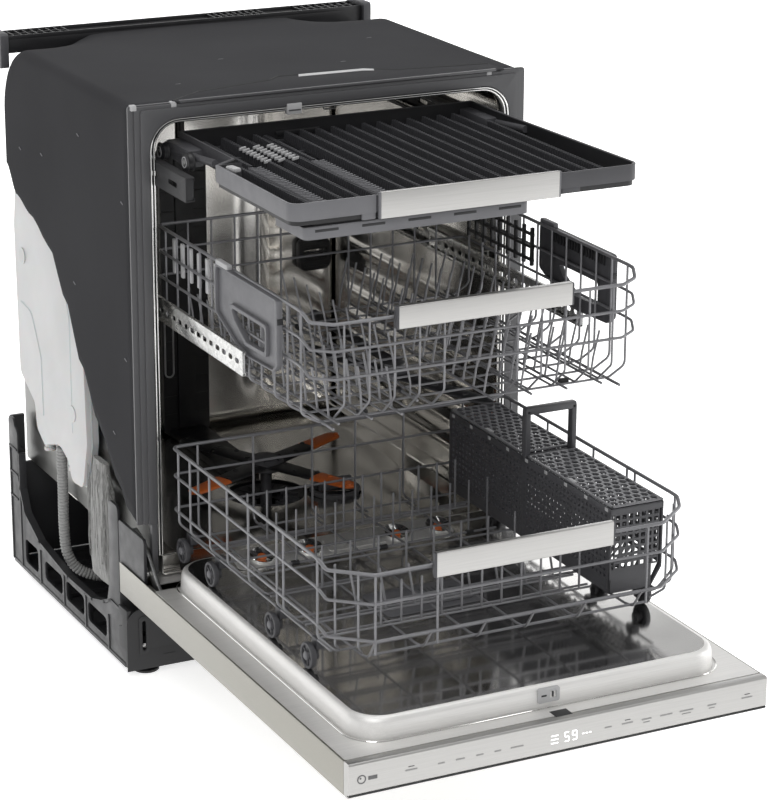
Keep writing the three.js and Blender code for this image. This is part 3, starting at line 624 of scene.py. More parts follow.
TUB_HALF, TUB_FLOOR, TUB_TOP, TUB_CORNER, TUB_FRONT, TUB_BACK = 264, 174, 812, 35, 4, 552
SUMP_CENTRE, FILTER_CENTRE = (0, 240), (95, 200)
TOP_ARM_CENTRE, MIDDLE_ARM_CENTRE = (0, 270), (0, -180)
PUMP_AXIS_Z = 72
WHEEL_X, WHEEL_Z, WHEEL_PLACES = 246, 216.8, (-28, -126, -322, -432)


def fade(value, start, end):
    """0 before start, 1 after end, and a smooth step between."""
    t = min(1, max(0, (value - start) / (end - start)))
    return t * t * (3 - 2 * t)


def side_rib(z):
    """How far a pressed rib stands out of the tub's side wall at that height, from 0 to 1."""
    first, last, pitch = 222, 488, 38
    if not first < z < last:
        return 0
    return ((1 - math.cos(2 * math.pi * (z - first) / pitch)) / 2) ** 2.5


def tub_section(y):
    """The tub's inside at one depth: up the left wall, across the ceiling and down the right wall."""
    heights = [TUB_FLOOR, 205] + spaced(215, 490, 70) + [530, 580, 640, 700, 740, TUB_TOP - TUB_CORNER]
    depth = 3.2 * fade(y, 70, 100) * (1 - fade(y, 490, 520))
    left = [(-TUB_HALF + depth * side_rib(z), z) for z in heights]
    ceiling = (arc(-TUB_HALF + TUB_CORNER, TUB_TOP - TUB_CORNER, TUB_CORNER, 180, 90, 8)[1:]
               + [(x, TUB_TOP) for x in spaced(-200, 200, 9)])
    middle = arc(TUB_HALF - TUB_CORNER, TUB_TOP - TUB_CORNER, TUB_CORNER, 90, 0, 8)[:-1]
    right = [(-x, z) for x, z in reversed(left)]
    return [(x, y, z) for x, z in left + ceiling + middle + right]


def back_wall_point(x, share):
    edge = abs(x) - (TUB_HALF - TUB_CORNER)
    top = TUB_TOP if edge <= 0 else TUB_TOP - TUB_CORNER + math.sqrt(max(0, TUB_CORNER ** 2 - edge ** 2))
    z = TUB_FLOOR + (top - TUB_FLOOR) * share
    beads = sum(math.exp(-((x - centre) / 24) ** 2) for centre in (-135, 135))
    return x, TUB_BACK - 7 * beads * fade(z, 200, 260) * (1 - fade(z, 740, 790)), z


def build_tub():
    part = Part("tub_shell", "cabinet", STEEL_OUTSIDE, STEEL_TUB)
    depths = [TUB_FRONT, 20, 70] + spaced(78, 100, 4) + [200, 300, 400, 490]
    depths += spaced(498, 520, 4) + [546, TUB_BACK]
    part.skin([tub_section(y) for y in depths])
    across = sorted(set(spaced(-TUB_HALF, TUB_HALF, 45) + [-135 - 12, -135 + 12, 135 - 12, 135 + 12]))
    part.skin([[back_wall_point(x, k / 24) for x in across] for k in range(25)])
    piece = part.done(angle=60)
    thicken(piece, 1.4, 1)
    floor = Part("tub_floor", "cabinet", STEEL_TUB)
    outer = round_box((-TUB_HALF, TUB_HALF), (TUB_FRONT, TUB_BACK), 6)
    floor.plate("z", outer, TUB_FLOOR - 2, TUB_FLOOR, [sump_hole()])
    for side in (-1, 1):
        ledge = [(side * 263.5, 174), (side * 263.5, 199), (side * 240, 199), (side * 238, 197),
                 (side * 236, 174)]
        floor.plate("y", ledge, 8, 551, bevel=1)
    floor.done("stainless")
    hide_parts("tub")
    return piece


def sump_hole():
    """The joined outline of the sump's mouth and the filter's, in the tub floor."""
    (ax, ay, ar), (bx, by, br) = (*SUMP_CENTRE, 60), (*FILTER_CENTRE, 40)
    far = [(x, y) for x, y in arc(ax, ay, ar, 0, 355, 71) if math.hypot(x - bx, y - by) > br]
    near = [(x, y) for x, y in arc(bx, by, br, 0, 354, 59) if math.hypot(x - ax, y - ay) > ar]
    centre = (ax + bx) / 2, (ay + by) / 2
    return sorted(far + near, key=lambda p: math.atan2(p[1] - centre[1], p[0] - centre[0]))


def build_gasket():
    part = Part("door_seal", "cabinet", RUBBER)
    path = [(x, 5.4, z) for x, z in arch(266.9, 204, TUB_TOP + 1.9, TUB_CORNER + 3, 10)[1:]]
    left = (-266.9, 5.4, 204)
    part.tube(path + [left], 1.5, 8)
    part.tube([(x, 8, z) for x, _, z in path + [left]], 1.2, 6)
    part.done("rubber", ["tub_gasket"])


def build_tub_rim():
    """The bright rolled edge of the tub, seen between the seal and the painted frame."""
    part = Part("tub_rim", "cabinet", CHROME)
    hole = arch(264.2, 176, TUB_TOP + 0.4, TUB_CORNER + 1)
    part.plate("y", arch(266, 175, TUB_TOP + 2, TUB_CORNER + 2), 1.2, 4, [hole], bevel=0.5)
    outer = arch(270.8, 203, TUB_TOP + 5, TUB_CORNER + 6)
    part.plate("y", outer, 0.4, 3.4, [arch(268.4, 204.5, TUB_TOP + 3.2, TUB_CORNER + 4)], bevel=0.8)
    part.done("stainless")


def build_front_frame():
    part = Part("front_flange", "cabinet", CHARCOAL, LIGHT_GREY, RUBBER, FELT)
    foot, top = 250, 838
    hole = arch(271.6, foot - 1, TUB_TOP + 6, TUB_CORNER + 7)
    for half, y0, y1, drop in ((299, 8, 12, 0), (291.5, 3.5, 8.2, 1.5), (284, 0.3, 3.7, 6)):
        outline = [(-half, foot)] + arc(-half + 4, top - drop - 4, 4, 180, 90, 3)
        outline += arc(half - 4, top - drop - 4, 4, 90, 0, 3) + [(half, foot)]
        inner = [(x, z) for x, z in hole if z > foot]
        part.plate("y", outline + [(271.6, foot)] + inner + [(-271.6, foot)], y0, y1, bevel=0.8)
    for side in (-1, 1):
        part.box(mirrored(side, 271.6, 280), (2, 12), (176, foot + 1), bevel=1)
    lip = [(-235, 6), (-231, 0.5), (262, 0.5), (258, 40), (195, 48), (122, 58), (84, 84), (-44, 88),
           (-66, 70), (-182, 44)]
    part.plate("z", lip, 838.2, 840.4, material=3, bevel=0.6)
    part.box((-228, 250), (0.4, 5), (837.5, 841.2), bevel=1)
    part.plate("z", [(-20, 74), (76, 72), (92, 66), (96, 76), (84, 85), (-14, 87)], 840.2, 841, material=1)
    # A thin black rubber rod along the felt lip's rear edge is painted shadow: it stands in for the shadow
    # line where the felt's front edge lifts off the frame.
    edge = [(x, y + 1, 839.4) for x, y in lip[3:] + lip[:1]]
    part.tube(rounded(edge, 8, 3), 2, 8, 2)
    part.box((-72, -50), (-1.5, 7), (807, 822), material=1, bevel=1.5)
    part.box((-70, -52), (-2.4, -1), (812, 814), bevel=0.4)
    for x in (-292, -235, 240):
        part.box((x - 4, x + 4), (3, 12), (832, 839.6), material=1, bevel=1.2)
    part.done("charcoal_paint", ["front_frame"])


BLANKET_FRONT, BLANKET_REAR, BLANKET_ROUND = 12.6, 504.6, 90


def blanket_drop(y):
    """How far the jacket's upper corners have drooped at that depth."""
    past = y - (BLANKET_REAR - BLANKET_ROUND)
    return 0 if past <= 0 else BLANKET_ROUND - math.sqrt(max(0, BLANKET_ROUND ** 2 - past ** 2))


def blanket_hem(y):
    wave = [(12, 252), (45, 262), (80, 292), (150, 352), (215, 425), (270, 505), (330, 568), (405, 598),
            (465, 616),
            (505, 655)]
    for (y0, z0), (y1, z1) in zip(wave, wave[1:]):
        if y <= y1:
            return z0 + (z1 - z0) * fade(y, y0, y1)
    return wave[-1][1]


def blanket_section(y):
    """The jacket at one depth: up the left side, over the top and down the right side."""
    half, corner, ceiling = 296.2, 12, 835.4
    drop, hem = blanket_drop(y), blanket_hem(y)
    top = ceiling - drop
    left = [(-half, z) for z in spaced(hem, top - corner, 34)]
    across = [(x, ceiling - drop * fade(abs(x), 150, half - corner)) for x in spaced(-278, 278, 29)]
    over = (arc(-half + corner, top - corner, corner, 180, 90, 5)[1:] + across
            + arc(half - corner, top - corner, corner, 90, 0, 5)[:-1])
    right = [(half, z) for z in spaced(top - corner, hem, 34)]
    result = []
    for x, z in left + over + right:
        soft = noise.noise(Vector((x * 0.004, y * 0.007, z * 0.006))) * 1.6
        inward = -math.copysign(min(1, max(0, abs(x) - 250) / 46), x)
        sag = 1 - min(1, max(0, abs(x) - 250) / 46)
        result.append((x + inward * (0.6 + soft * 0.6), y, z - sag * (0.8 + soft)))
    return result


def build_blanket():
    part = Part("sound_jacket", "cabinet", FELT)
    depths = spaced(BLANKET_FRONT, BLANKET_REAR - BLANKET_ROUND, 22)
    depths += [BLANKET_REAR - BLANKET_ROUND * (1 - math.sin(math.radians(a))) for a in range(6, 91, 6)]
    rows = [blanket_section(y) for y in depths]
    part.skin(rows)
    piece = part.done("blanket_felt", ["sound_blanket"], angle=70)
    thicken(piece, 3.6)
    pins = Part("jacket_staples", "cabinet", MID_GREY)
    for y, z in ((40, 700), (40, 480), (200, 760), (350, 700), (90, 360), (230, 540), (440, 690)):
        pins.box((-298.4, -297.4), (y - 4, y + 4), (z - 0.8, z + 0.8), bevel=0.4,
                 turn=(20, "X", (-298, y, z)))
    for x, y in ((-180, 120), (-60, 250), (90, 160), (200, 300)):
        pins.box((x - 4, x + 4), (y - 0.8, y + 0.8), (835.6, 836.4), bevel=0.4)
    pins.done("galvanised")


def build_rear_bar():
    part = Part("rear_spacer_bar", "cabinet", BLACK, GRAPHITE)
    outline = [(-290, 817), (-196, 817), (-160, 825), (160, 825), (196, 817), (290, 817), (290, 838),
               (-290, 838)]
    part.plate("y", outline, 506, 550, bevel=1.5)
    for y in (506, 546.5):
        part.box((-290, 290), (y, y + 3.5), (837, 843), bevel=0.8)
    for x0, x1 in ((-288, -190), (190, 288), (46, 128)):
        for x in spaced(x0, x1, 9):
            part.box((x - 1, x + 1), (508, 548), (837.5, 842.4), bevel=0.4)
        part.box((x0, x1), (526, 528), (837.5, 842), bevel=0.4)
    for side in (-1, 1):
        near, far = mirrored(side, 289, 301.3)
        part.plate("x", round_box((498.4, 559.6), (796.4, 847.6), 5), near, far,
                   [round_box((y, y + 14), (806, 838), 2) for y in (506, 528)], material=1, bevel=1.2)
        part.box(mirrored(side, 289.5, 294), (500, 557), (798, 846), material=0, bevel=1)
    part.done("black_plastic", ["rear_top_bar"])


# ---- Base ----

def build_base():
    part = Part("base_frame", "cabinet", BASE_BLACK)
    part.plate("z", round_box((-297, 297), (66, 545), 10), 12, 18, bevel=1)
    for y in spaced(100, 520, 8):
        part.box((-290, 290), (y - 1.5, y + 1.5), (17, 24), bevel=0.5)
    side_outline = rounded(
        [(66, 12.5), (545, 12.5), (545, 249), (523, 249), (519, 238), (507, 232), (508, 160), (480, 108),
         (420, 84),
         (300, 70), (190, 72), (140, 92), (128, 130), (128, 249), (92, 249), (90, 98), (66, 96)], 9, 4, True)
    windows = [round_box((y, y + 74), (30, 60), 8) for y in (146, 236, 326)]
    windows.append(round_box((430, 486), (28, 66), 8))
    for side in (-1, 1):
        near, far = mirrored(side, 292, 296)
        part.plate("x", side_outline, near, far, windows, bevel=0.8)
        near, far = mirrored(side, 286, 297.6)
        lip = rounded([(66, 94), (128, 96), (150, 84), (200, 70), (300, 68), (420, 82), (482, 108),
                       (510, 162)], 20)
        for first, second in zip(lip, lip[1:]):
            middle = (first + second) / 2
            length = (second - first).length
            slope = math.degrees(math.atan2(second.y - first.y, second.x - first.x))
            part.box((near, far), (middle.x - length / 2 - 0.6, middle.x + length / 2 + 0.6),
                     (middle.y - 2, middle.y + 2), turn=(slope, "X", (side * 292, middle.x, middle.y)))
        for y in (136, 228, 318, 418, 500, 540):
            part.box((near, far), (y - 2, y + 2), (16, 70 if y < 500 else 200), bevel=0.6)
        for z in (120, 160, 200):
            part.box((near, far), (510, 544), (z, z + 3), bevel=0.6)
        near, far = mirrored(side, 272, 294)
        part.box((near, far), (538, 545), (14, 249), bevel=1)
        part.box((near, far), (91, 96), (18, 165), bevel=1)
        near, far = mirrored(side, 290.8, 295.4)
        part.plate("x", round_box((-3.6, 91), (150, 231), 6), near, far, bevel=0.8)
    part.box((-292, 292), (91, 97), (121, 171), bevel=1)
    part.box((-292, 292), (537, 544), (19, 171), bevel=1)
    part.done("black_plastic", ["base_tray"])


def build_kick_plate():
    part = Part("kick_plate_skin", "cabinet", BLACK_SHEET, BLACK, ZINC)
    outline = ([(-299, 10.2), (299, 10.2)] + arc(277, 81, 22, 0, 90, 6) + arc(-277, 81, 22, 90, 180, 6))
    slots = [round_box((x - 2.6, x + 2.6), (40, 84), 2.4) for x in (-273, 273)]
    part.plate("y", outline, 58.2, 60.4, slots, bevel=0.6)
    for side in (-1, 1):
        part.plate("y", round_box(mirrored(side, 265, 281), (34, 92), 5), 57.4, 58.6,
                   [round_box((side * 273 - 3, side * 273 + 3), (39, 85), 2.8)], bevel=0.4)
        screw(part, (side * 273, 57.8, 35 + 12), "y", 3.4, 2)
        part.box(mirrored(side, 226, 244), (57.6, 58.5), (27, 29), material=1, bevel=0.4)
        inner, outer = mirrored(side, 291, 298)
        part.plate("x", [(60.5, 40), (92, 40), (92, 70), (80, 74), (80, 86), (92, 90), (92, 102),
                         (60.5, 102)],
                   inner, outer, bevel=0.8)
    part.done("black_paint", ["kick_plate"])


def build_feet():
    for end, y in (("front", 82), ("rear", 520)):
        for side, x in (("left", -262), ("right", 262)):
            part = Part(f"levelling_{end}_{side}", "cabinet", BLACK, ZINC)
            part.turned([(0, 0), (17.5, 0), (19, 1.2), (18.6, 4), (16, 6), (9, 6.8), (0, 6.8)], (x, y, 0),
                        "z", 28)
            thread = [(5 + 0.7 * (k % 2), 6 + k * 0.7) for k in range(9)]
            part.turned([(0, 6)] + thread + [(0, 11.6)], (x, y, 0), "z", 20, 1)
            part.turned([(0, 7.4), (9, 7.4), (9, 9.4), (0, 9.4)], (x, y, 0), "z", 6, 1)
            part.done("black_plastic", [f"foot_{end}_{side}"])


def build_counterweight():
    part = Part("ballast_block", "cabinet", IRON)
    part.plate("x", [(471, 20.6), (529, 20.6), (527, 77), (473, 77)], -129.5, 129.5, bevel=3)
    for x in (-70, 0, 70):
        part.turned([(0, 77), (9, 77), (11, 78), (13, 77.4), (14, 76)], (x, 500, 0), "z", 20)
    part.done("cast_iron", ["counterweight"])


def build_water_guide():
    """The milky tank that softens and meters the water, blow-moulded with a seam and channels."""
    part = Part("water_tank", "cabinet", TANK)
    outline = rounded(
        [(243, 226), (288, 223), (300, 250), (330, 262), (345, 262), (402, 244), (432, 262), (438, 300),
         (498, 332),
         (504, 560), (489, 638), (302, 638), (230, 470), (222, 300)], 16, 5, True)
    part.plate("x", outline, -289.6, -271, bevel=5)
    part.plate("x", scaled(outline, (370, 430), 1.008), -281.6, -280)
    channels = [[(280, 300), (280, 470), (330, 600), (470, 610)],
                [(402, 290), (404, 380), (440, 440), (484, 445)]]
    for line in channels:
        path = [(-287.4, p.x, p.y) for p in rounded(line, 24, 6)]
        part.tube(path, 3.2, 10)
    for y, z in ((300, 246), (402, 246)):
        part.turned([(0, -11), (8.8, -11), (8.8, -6), (7.4, -6), (7.4, -2), (8.8, -2), (8.8, 11), (0, 11)],
                    (-280.5, y, z), "z", 20)
    for y, z in ((276, 330), (470, 520), (440, 610)):
        part.turned([(0, -1), (12, -1), (12, 0.6), (10, 1.4), (0, 1.4)], (-290, y, z), "x", 24)
    part.done("white_plastic", ["water_guide"])


def build_fibre_pad():
    """Loose upright fibres pushed into the corner behind the hinge."""
    part = Part("fibre_wad", "cabinet", WOOL)
    rows = []
    levels = spaced(104.6, 284.4, 40)
    for z in levels:
        share = (z - levels[0]) / (levels[-1] - levels[0])
        width = 1 - 0.5 * fade(share, 0.75, 1) - 0.25 * (1 - fade(share, 0, 0.15))
        ring = []
        for k in range(48):
            a = 2 * math.pi * k / 48
            squared = [math.copysign(abs(f(a)) ** 0.6, f(a)) for f in (math.cos, math.sin)]
            x = -280 + squared[0] * 9.2 * width
            y = 191 + squared[1] * 39 * (1 - 0.35 * fade(share, 0.7, 1))
            ruffle = noise.noise(Vector((x * 0.2, y * 0.22, z * 0.03)))
            ring.append((x + ruffle * 0.7, y + ruffle * 2.4, z))
        rows.append(ring)
    part.skin(rows, closed=True, caps=True)
    piece = part.done("fibre", ["fibre_pad"], angle=80)
    random.seed(4)
    wisps = Part("fibre_wisps", "cabinet", WOOL)
    for _ in range(70):
        y, z = random.uniform(156, 226), random.uniform(120, 240)
        length = random.uniform(20, 60)
        bend = random.uniform(-5, 5)
        x = -289.4 + random.uniform(0, 1.2)
        wisps.tube([(x, y, z), (x - 0.4, y + bend, z + length * 0.5), (x, y + bend * 0.4, z + length)], 0.5,
                   4)
    wisps.done("fibre")


def catmull(points, per_span):
    path = [Vector(p) for p in points]
    ends = [path[0] * 2 - path[1]] + path + [path[-1] * 2 - path[-2]]
    result = []
    for a, b, c, d in zip(ends, ends[1:], ends[2:], ends[3:]):
        for k in range(per_span):
            t = k / per_span
            result.append(0.5 * (2 * b + (c - a) * t + (2 * a - 5 * b + 4 * c - d) * t * t
                                 + (3 * b - a - 3 * c + d) * t ** 3))
    return result + [path[-1]]


def resample(path, step):
    """Points an even step apart along a line."""
    lengths = [0]
    for a, b in zip(path, path[1:]):
        lengths.append(lengths[-1] + (b - a).length)
    count = max(2, round(lengths[-1] / step))
    result, i = [], 0
    for k in range(count + 1):
        target = lengths[-1] * k / count
        while i < len(path) - 2 and lengths[i + 1] < target:
            i += 1
        share = (target - lengths[i]) / max(1e-9, lengths[i + 1] - lengths[i])
        result.append(path[i].lerp(path[i + 1], share))
    return result


def build_drain_hose():
    route = [(-280.5, 352, 254), (-280.5, 354, 226), (-279, 357, 180), (-279, 358, 130), (-276, 354, 84),
             (-258, 346, 56), (-215, 330, 44), (-150, 300, 46), (-100, 268, 66), (-84, 256, 84),
             (-66, 250, 94)]
    path = resample(catmull(route, 12), 1.7)
    radii = [8.3 if k % 3 else 6.9 for k in range(len(path))]
    part = Part("corrugated_hose", "cabinet", HOSE)
    part.tube(path, 8, 14, radii=radii)
    part.done("hose", ["drain_hose"])


def build_pump():
    part = Part("wash_pump", "cabinet", GRAPHITE, ZINC, BLACK)
    part.turned([(0, 0), (36, 0), (41, 4), (41, 92), (38, 99), (0, 99)], (0, 342, PUMP_AXIS_Z), "y", 36)
    for k in range(12):
        angle = k * 30
        part.box((-1, 1), (350, 432), (111, 114), turn=(angle, "Y", (0, 390, PUMP_AXIS_Z)), bevel=0.4)
    part.turned([(0, -13), (40, -13), (48, -9), (49, 0), (48, 9), (40, 12), (0, 12)], (0, 330, PUMP_AXIS_Z),
                "y", 36, 2)
    part.turned([(0, 0), (15, 0), (17, 3), (17, 46), (0, 46)], (0, 331, 103), "z", 24, 2)
    for angle in (45, 135, 225, 315):
        a = math.radians(angle)
        screw(part, (44 * math.cos(a), 344, PUMP_AXIS_Z + 44 * math.sin(a)), "y", 3, 1)
    part.done("dark_plastic", ["circulation_pump"])


def build_feed_duct():
    part = Part("spray_feed_duct", "cabinet", BLACK, LIGHT_GREY)
    y0, y1 = 539.4, 551.4
    part.plate("y", round_box((-38.5, 38.5), (175, 639), 12), y0 + 2, y1, bevel=2)
    part.plate("y", round_box((-15, 15), (186, 632), 8), y0 - 1.6, y0 + 4, bevel=2)
    for x in (-27, 27):
        part.plate("y", round_box((x - 4, x + 4), (200, 620), 4), y0, y0 + 4, bevel=1)
    for z in spaced(210, 600, 14):
        part.box((-37, 37), (y0 + 0.8, y0 + 4), (z - 1, z + 1), bevel=0.4)
    loop = [(x, y0 + 1, z) for x, z in round_box((-36, -22), (273, 377), 6.9, 6)]
    part.tube(loop, 1.5, 8, material=1, closed=True)
    part.tube([(0, y1 - 6, z) for z in (636, 700, 780)] + [(0, y1 - 12, 803), (0, y1 - 30, 806.5)], 5.2, 14)
    part.tube([(0, y, 806.5) for y in (262, 300, 400, 500, 530)], 4.9, 14)
    part.turned([(0, 0), (15, 0), (15, -2.6), (12, -3.4), (9, -3.4), (9, -1.4), (0, -1.4)], (0, 540, 496),
                "y", 32)
    part.plate("z", round_box((-29, 29), (322, 550), 8), 174.4, 185.6, bevel=3)
    part.done("black_plastic", ["feed_duct"])
    vent = Part("drying_vent", "cabinet", BLACK)
    outline = round_box((196, 250), (418, 470), 12)
    vent.plate("y", outline, 536, 551.4, [round_box((203, 243), (438, 452), 3)], bevel=2)
    for z in spaced(424, 464, 6):
        vent.box((202, 244), (534.8, 537), (z - 1.2, z + 1.2), bevel=0.5)
    vent.done("black_plastic")


def build_sump():
    part = Part("sump_bowl", "cabinet", BLACK, GRAPHITE)
    part.turned([(0, 88), (56, 88), (63, 100), (63, 158), (83, 160), (83, 171.4), (60, 171.4), (60, 104),
                 (10, 93)],
                (*SUMP_CENTRE, 0), "z", 48)
    part.turned([(9, 92), (9, 186), (7.8, 190), (8.8, 196), (8.8, 210.6), (0, 210.6)], (*SUMP_CENTRE, 0),
                "z", 24, 1)
    part.turned([(0, 105), (43, 105), (43, 158), (55, 159), (55, 171.4), (41.4, 171.4), (41.4, 109),
                 (0, 109)],
                (*FILTER_CENTRE, 0), "z", 40)
    part.turned([(22, 158), (58, 160), (59, 166), (56, 169), (30, 166)], (*SUMP_CENTRE, 0), "z", 48, 1)
    for k in range(16):
        part.box((26, 54), (239.2, 240.8), (165, 170), 1, turn=(k * 22.5 + 9, "Z", (*SUMP_CENTRE, 166)))
    part.done("black_plastic", ["sump"])


def build_filter():
    part = Part("filter_basket", "filter", MID_GREY, ZINC)
    part.turned([(0, 113), (33, 113), (35, 118), (36, 174), (38.6, 178), (38.6, 181), (33, 181.6), (31, 178),
                 (30, 150), (0, 148)], (*FILTER_CENTRE, 0), "z", 48)
    for k in range(24):
        part.box((129.6, 131.4), (199, 201), (120, 172), 1, turn=(k * 15, "Z", (*FILTER_CENTRE, 140)),
                 bevel=0.3)
    for z in spaced(126, 166, 6):
        part.turned([(35.6, -0.8), (36.8, -0.8), (36.8, 0.8), (35.6, 0.8)], (*FILTER_CENTRE, z), "z", 48, 1,
                    closed=True)
    part.box((68, 122), (197, 203), (179, 197), bevel=2)
    for x in (74, 116):
        part.box((x - 3, x + 3), (195.5, 204.5), (180, 194), bevel=1.5)
    part.done("grey_plastic", ["filter_cup"])


def arm_blade(part, centre, angle, reach, width, z, thick, material, nozzles):
    """One hollow spray blade from its hub out to reach, tapering and domed, with a row of nozzles."""
    rows = []
    direction = Vector((math.cos(angle), math.sin(angle), 0))
    side = Vector((-direction.y, direction.x, 0))
    for k in range(15):
        share = k / 14
        along = reach * share
        nose = math.sqrt(max(0, 1 - ((share - 0.86) / 0.14) ** 2)) if share > 0.86 else 1
        half = width / 2 * (1 - 0.25 * share) * nose
        half = max(half, 0.8)
        ring = []
        for j in range(16):
            a = 2 * math.pi * j / 16
            height = math.sin(a) * thick / 2 * (0.9 if share < 0.9 else 0.7)
            offset = direction * along + side * half * math.copysign(abs(math.cos(a)) ** 0.7, math.cos(a))
            ring.append((centre[0] + offset.x, centre[1] + offset.y, z + height))
        rows.append(ring)
    part.skin(rows, closed=True, caps=True, material=material)
    for k in range(nozzles):
        along = reach * (0.3 + 0.6 * k / max(1, nozzles - 1))
        spot = Vector((*centre, 0)) + direction * along + side * (width * 0.16 * (-1) ** k)
        part.turned([(0, 0.4), (1.4, 0.4), (3.4, 1.0), (3.8, 0), (3.8, -2)],
                    (spot.x, spot.y, z + thick / 2 - 0.2),
                    "z", 14, material)


def build_lower_sprayer():
    part = Part("lower_sprayer_arms", "lower_sprayer", BLACK, ORANGE, GRAPHITE)
    centre = SUMP_CENTRE
    reach = 168
    for angle, tip_material in ((0.45, 1), (0.45 + math.pi, 1), (2.02, 0), (2.02 + math.pi, 1)):
        arm_blade(part, centre, angle, reach * 0.62, 40, 221.5, 9, 0, 3)
        tip = Vector((math.cos(angle), math.sin(angle))) * reach * 0.58
        arm_blade(part, (centre[0] + tip.x, centre[1] + tip.y), angle, reach * 0.42, 34, 221.5, 8,
                  tip_material, 2)
    part.turned([(0, 211.6), (22, 211.6), (26, 214), (26.8, 226), (22, 231), (12, 232.6), (0, 232.6)],
                (*SUMP_CENTRE, 0), "z", 36, 2)
    for k in range(6):
        part.box((8, 24), (239, 241), (229, 232), 0, turn=(k * 60, "Z", (*SUMP_CENTRE, 230)), bevel=0.5)
    part.done("black_plastic", ["lower_spray_arm"])


def build_top_sprayer():
    part = Part("top_sprayer_arm", "top_sprayer", BLACK, GRAPHITE)
    for angle in (0.3, 0.3 + math.pi):
        arm_blade(part, TOP_ARM_CENTRE, angle, 118, 28, 797, 5.4, 0, 4)
    part.turned([(0, 793.2), (16, 793.2), (17.8, 795), (17.8, 800), (14, 802.4), (0, 802.4)],
                (*TOP_ARM_CENTRE, 0), "z", 28, 1)
    part.done("black_plastic", ["top_spray_arm"])


def build_strike():
    part = Part("latch_keeper", "cabinet", ZINC)
    part.plate("z", round_box((-16, 16), (14.4, 33.6), 3), 808.6, 811.5,
               [round_box((-9, 9), (17, 26), 2)], bevel=0.6)
    part.tube([(-9, 17, 810), (-9, 17, 806), (-7, 17, 805.4), (7, 17, 805.4), (9, 17, 806), (9, 17, 810)],
              1.4, 10)
    part.done("galvanised", ["latch_strike"])


# ---- Rails ----

def channel(part, side, inside, outside, y, z, web, slots, material=0):
    """A C-section rail with slots along its web; it opens towards the racks."""
    web_near, web_far = mirrored(side, outside - web, outside)
    middle = (z[0] + z[1]) / 2
    part.plate("x", round_box(y, z, 2), web_near, web_far, [
        round_box((a, b), (middle - 3.4, middle + 3.4), 3.2, 3) for a, b in slots], material, 0.4)
    near, far = mirrored(side, inside, outside)
    for low in (z[0], z[1] - web):
        part.box((near, far), y, (low, low + web), material, bevel=0.5)
    lip_near, lip_far = mirrored(side, inside, inside + 1)
    for low in (z[0], z[1] - 5):
        part.box((lip_near, lip_far), y, (low, low + 5), material, bevel=0.3)


def build_rails():
    for name, side in (("left", -1), ("right", 1)):
        rail = Part(f"middle_outer_rail_{name}", "cabinet", ZINC)
        slots = [(y, y + 26) for y in range(62, 520, 44)]
        channel(rail, side, 252.6, 263.4, (40.5, 544.5), (532.4, 567.6), 1.4, slots)
        rail.done("galvanised", [f"middle_rail_{name}"])

        slide = Part(f"middle_inner_slide_{name}", f"{name}_middle_slide", ZINC_BRIGHT, LIGHT_GREY)
        holes = [(y, y + 12) for y in range(-238, 190, 21)]
        channel(slide, side, 247.2, 251.8, (-249.5, 199.5), (533.4, 566.6), 1.2, holes)
        for y in range(-240, 196, 21):
            slide.box(mirrored(side, 249.2, 250.8), (y - 3, y + 3), (538, 541), 0, bevel=0.4)
        slide.box(mirrored(side, 247.4, 251.6), (-249, -238), (536, 564), 1, bevel=1)
        slide.done("galvanised", [f"middle_slide_{name}"])

        third = Part(f"third_slide_{name}", f"{name}_third_rail", BLACK_SHEET, ZINC_BRIGHT)
        channel(third, side, 250.4, 263.2, (-99.5, 349.5), (728.5, 761.5), 1.8,
                [(y, y + 30) for y in range(-70, 330, 60)])
        rod = side * 256
        for z in (733, 756):
            third.tube([(rod, -96, z), (rod, 344, z)], 2.4, 10, 1)
        for y in (-94, 340):
            third.box(mirrored(side, 251, 262.4), (y - 4, y + 4), (730, 760), 0, bevel=1)
        third.done("black_paint", [f"third_rail_{name}"])


# ---- Third rack ----

def third_outline(inset):
    """The third rack's tray from above: its left side steps in behind, where the rollers stand."""
    left, right, tail = -246 + inset, 248 - inset, -213 + inset
    front, rear, corner = -388 + inset, 40 - inset, 16 - inset
    return ([(tail, rear), (tail, -134 - inset), (left, -158 - inset)]
            + arc(left + corner, front + corner, corner, 180, 270, 6)
            + arc(right - corner, front + corner, corner, 270, 360, 6)
            + [(right - 14, -60), (right - 16, rear)])


def comb(part, x, y, z, pitch, height, width, material, lean=0):
    """A row of small fins along y, each a thin upright blade across x."""
    count = max(2, round((y[1] - y[0]) / pitch))
    part.box((x - 1.2, x + 1.2), y, (z, z + 3), material, bevel=0.4)
    for at in spaced(y[0] + 1, y[1] - 1, count):
        part.box((x - width / 2, x + width / 2), (at - 0.7, at + 0.7), (z, z + height), material,
                 turn=(lean, "X", (x, at, z)))


def zigzag(part, x, y, z, material):
    """A light strip of slanted teeth that holds cutlery, seen from above as a zigzag."""
    for at in spaced(y[0], y[1], round((y[1] - y[0]) / 8)):
        for turn in (28, -28):
            shift = 4 if turn > 0 else -4
            part.box((x + shift - 6, x + shift + 6), (at - 1, at + 1), (z, z + 7), material, bevel=0.5,
                     turn=(turn, "Z", (x + shift, at, z)))
    part.box((x - 11, x + 11), (y[0] - 3, y[1] + 3), (z - 1, z + 1), material, bevel=0.4)


def front_part(outline, limit):
    """An outline cut off straight behind y = limit."""
    return [(x, min(y, limit)) for x, y in outline]


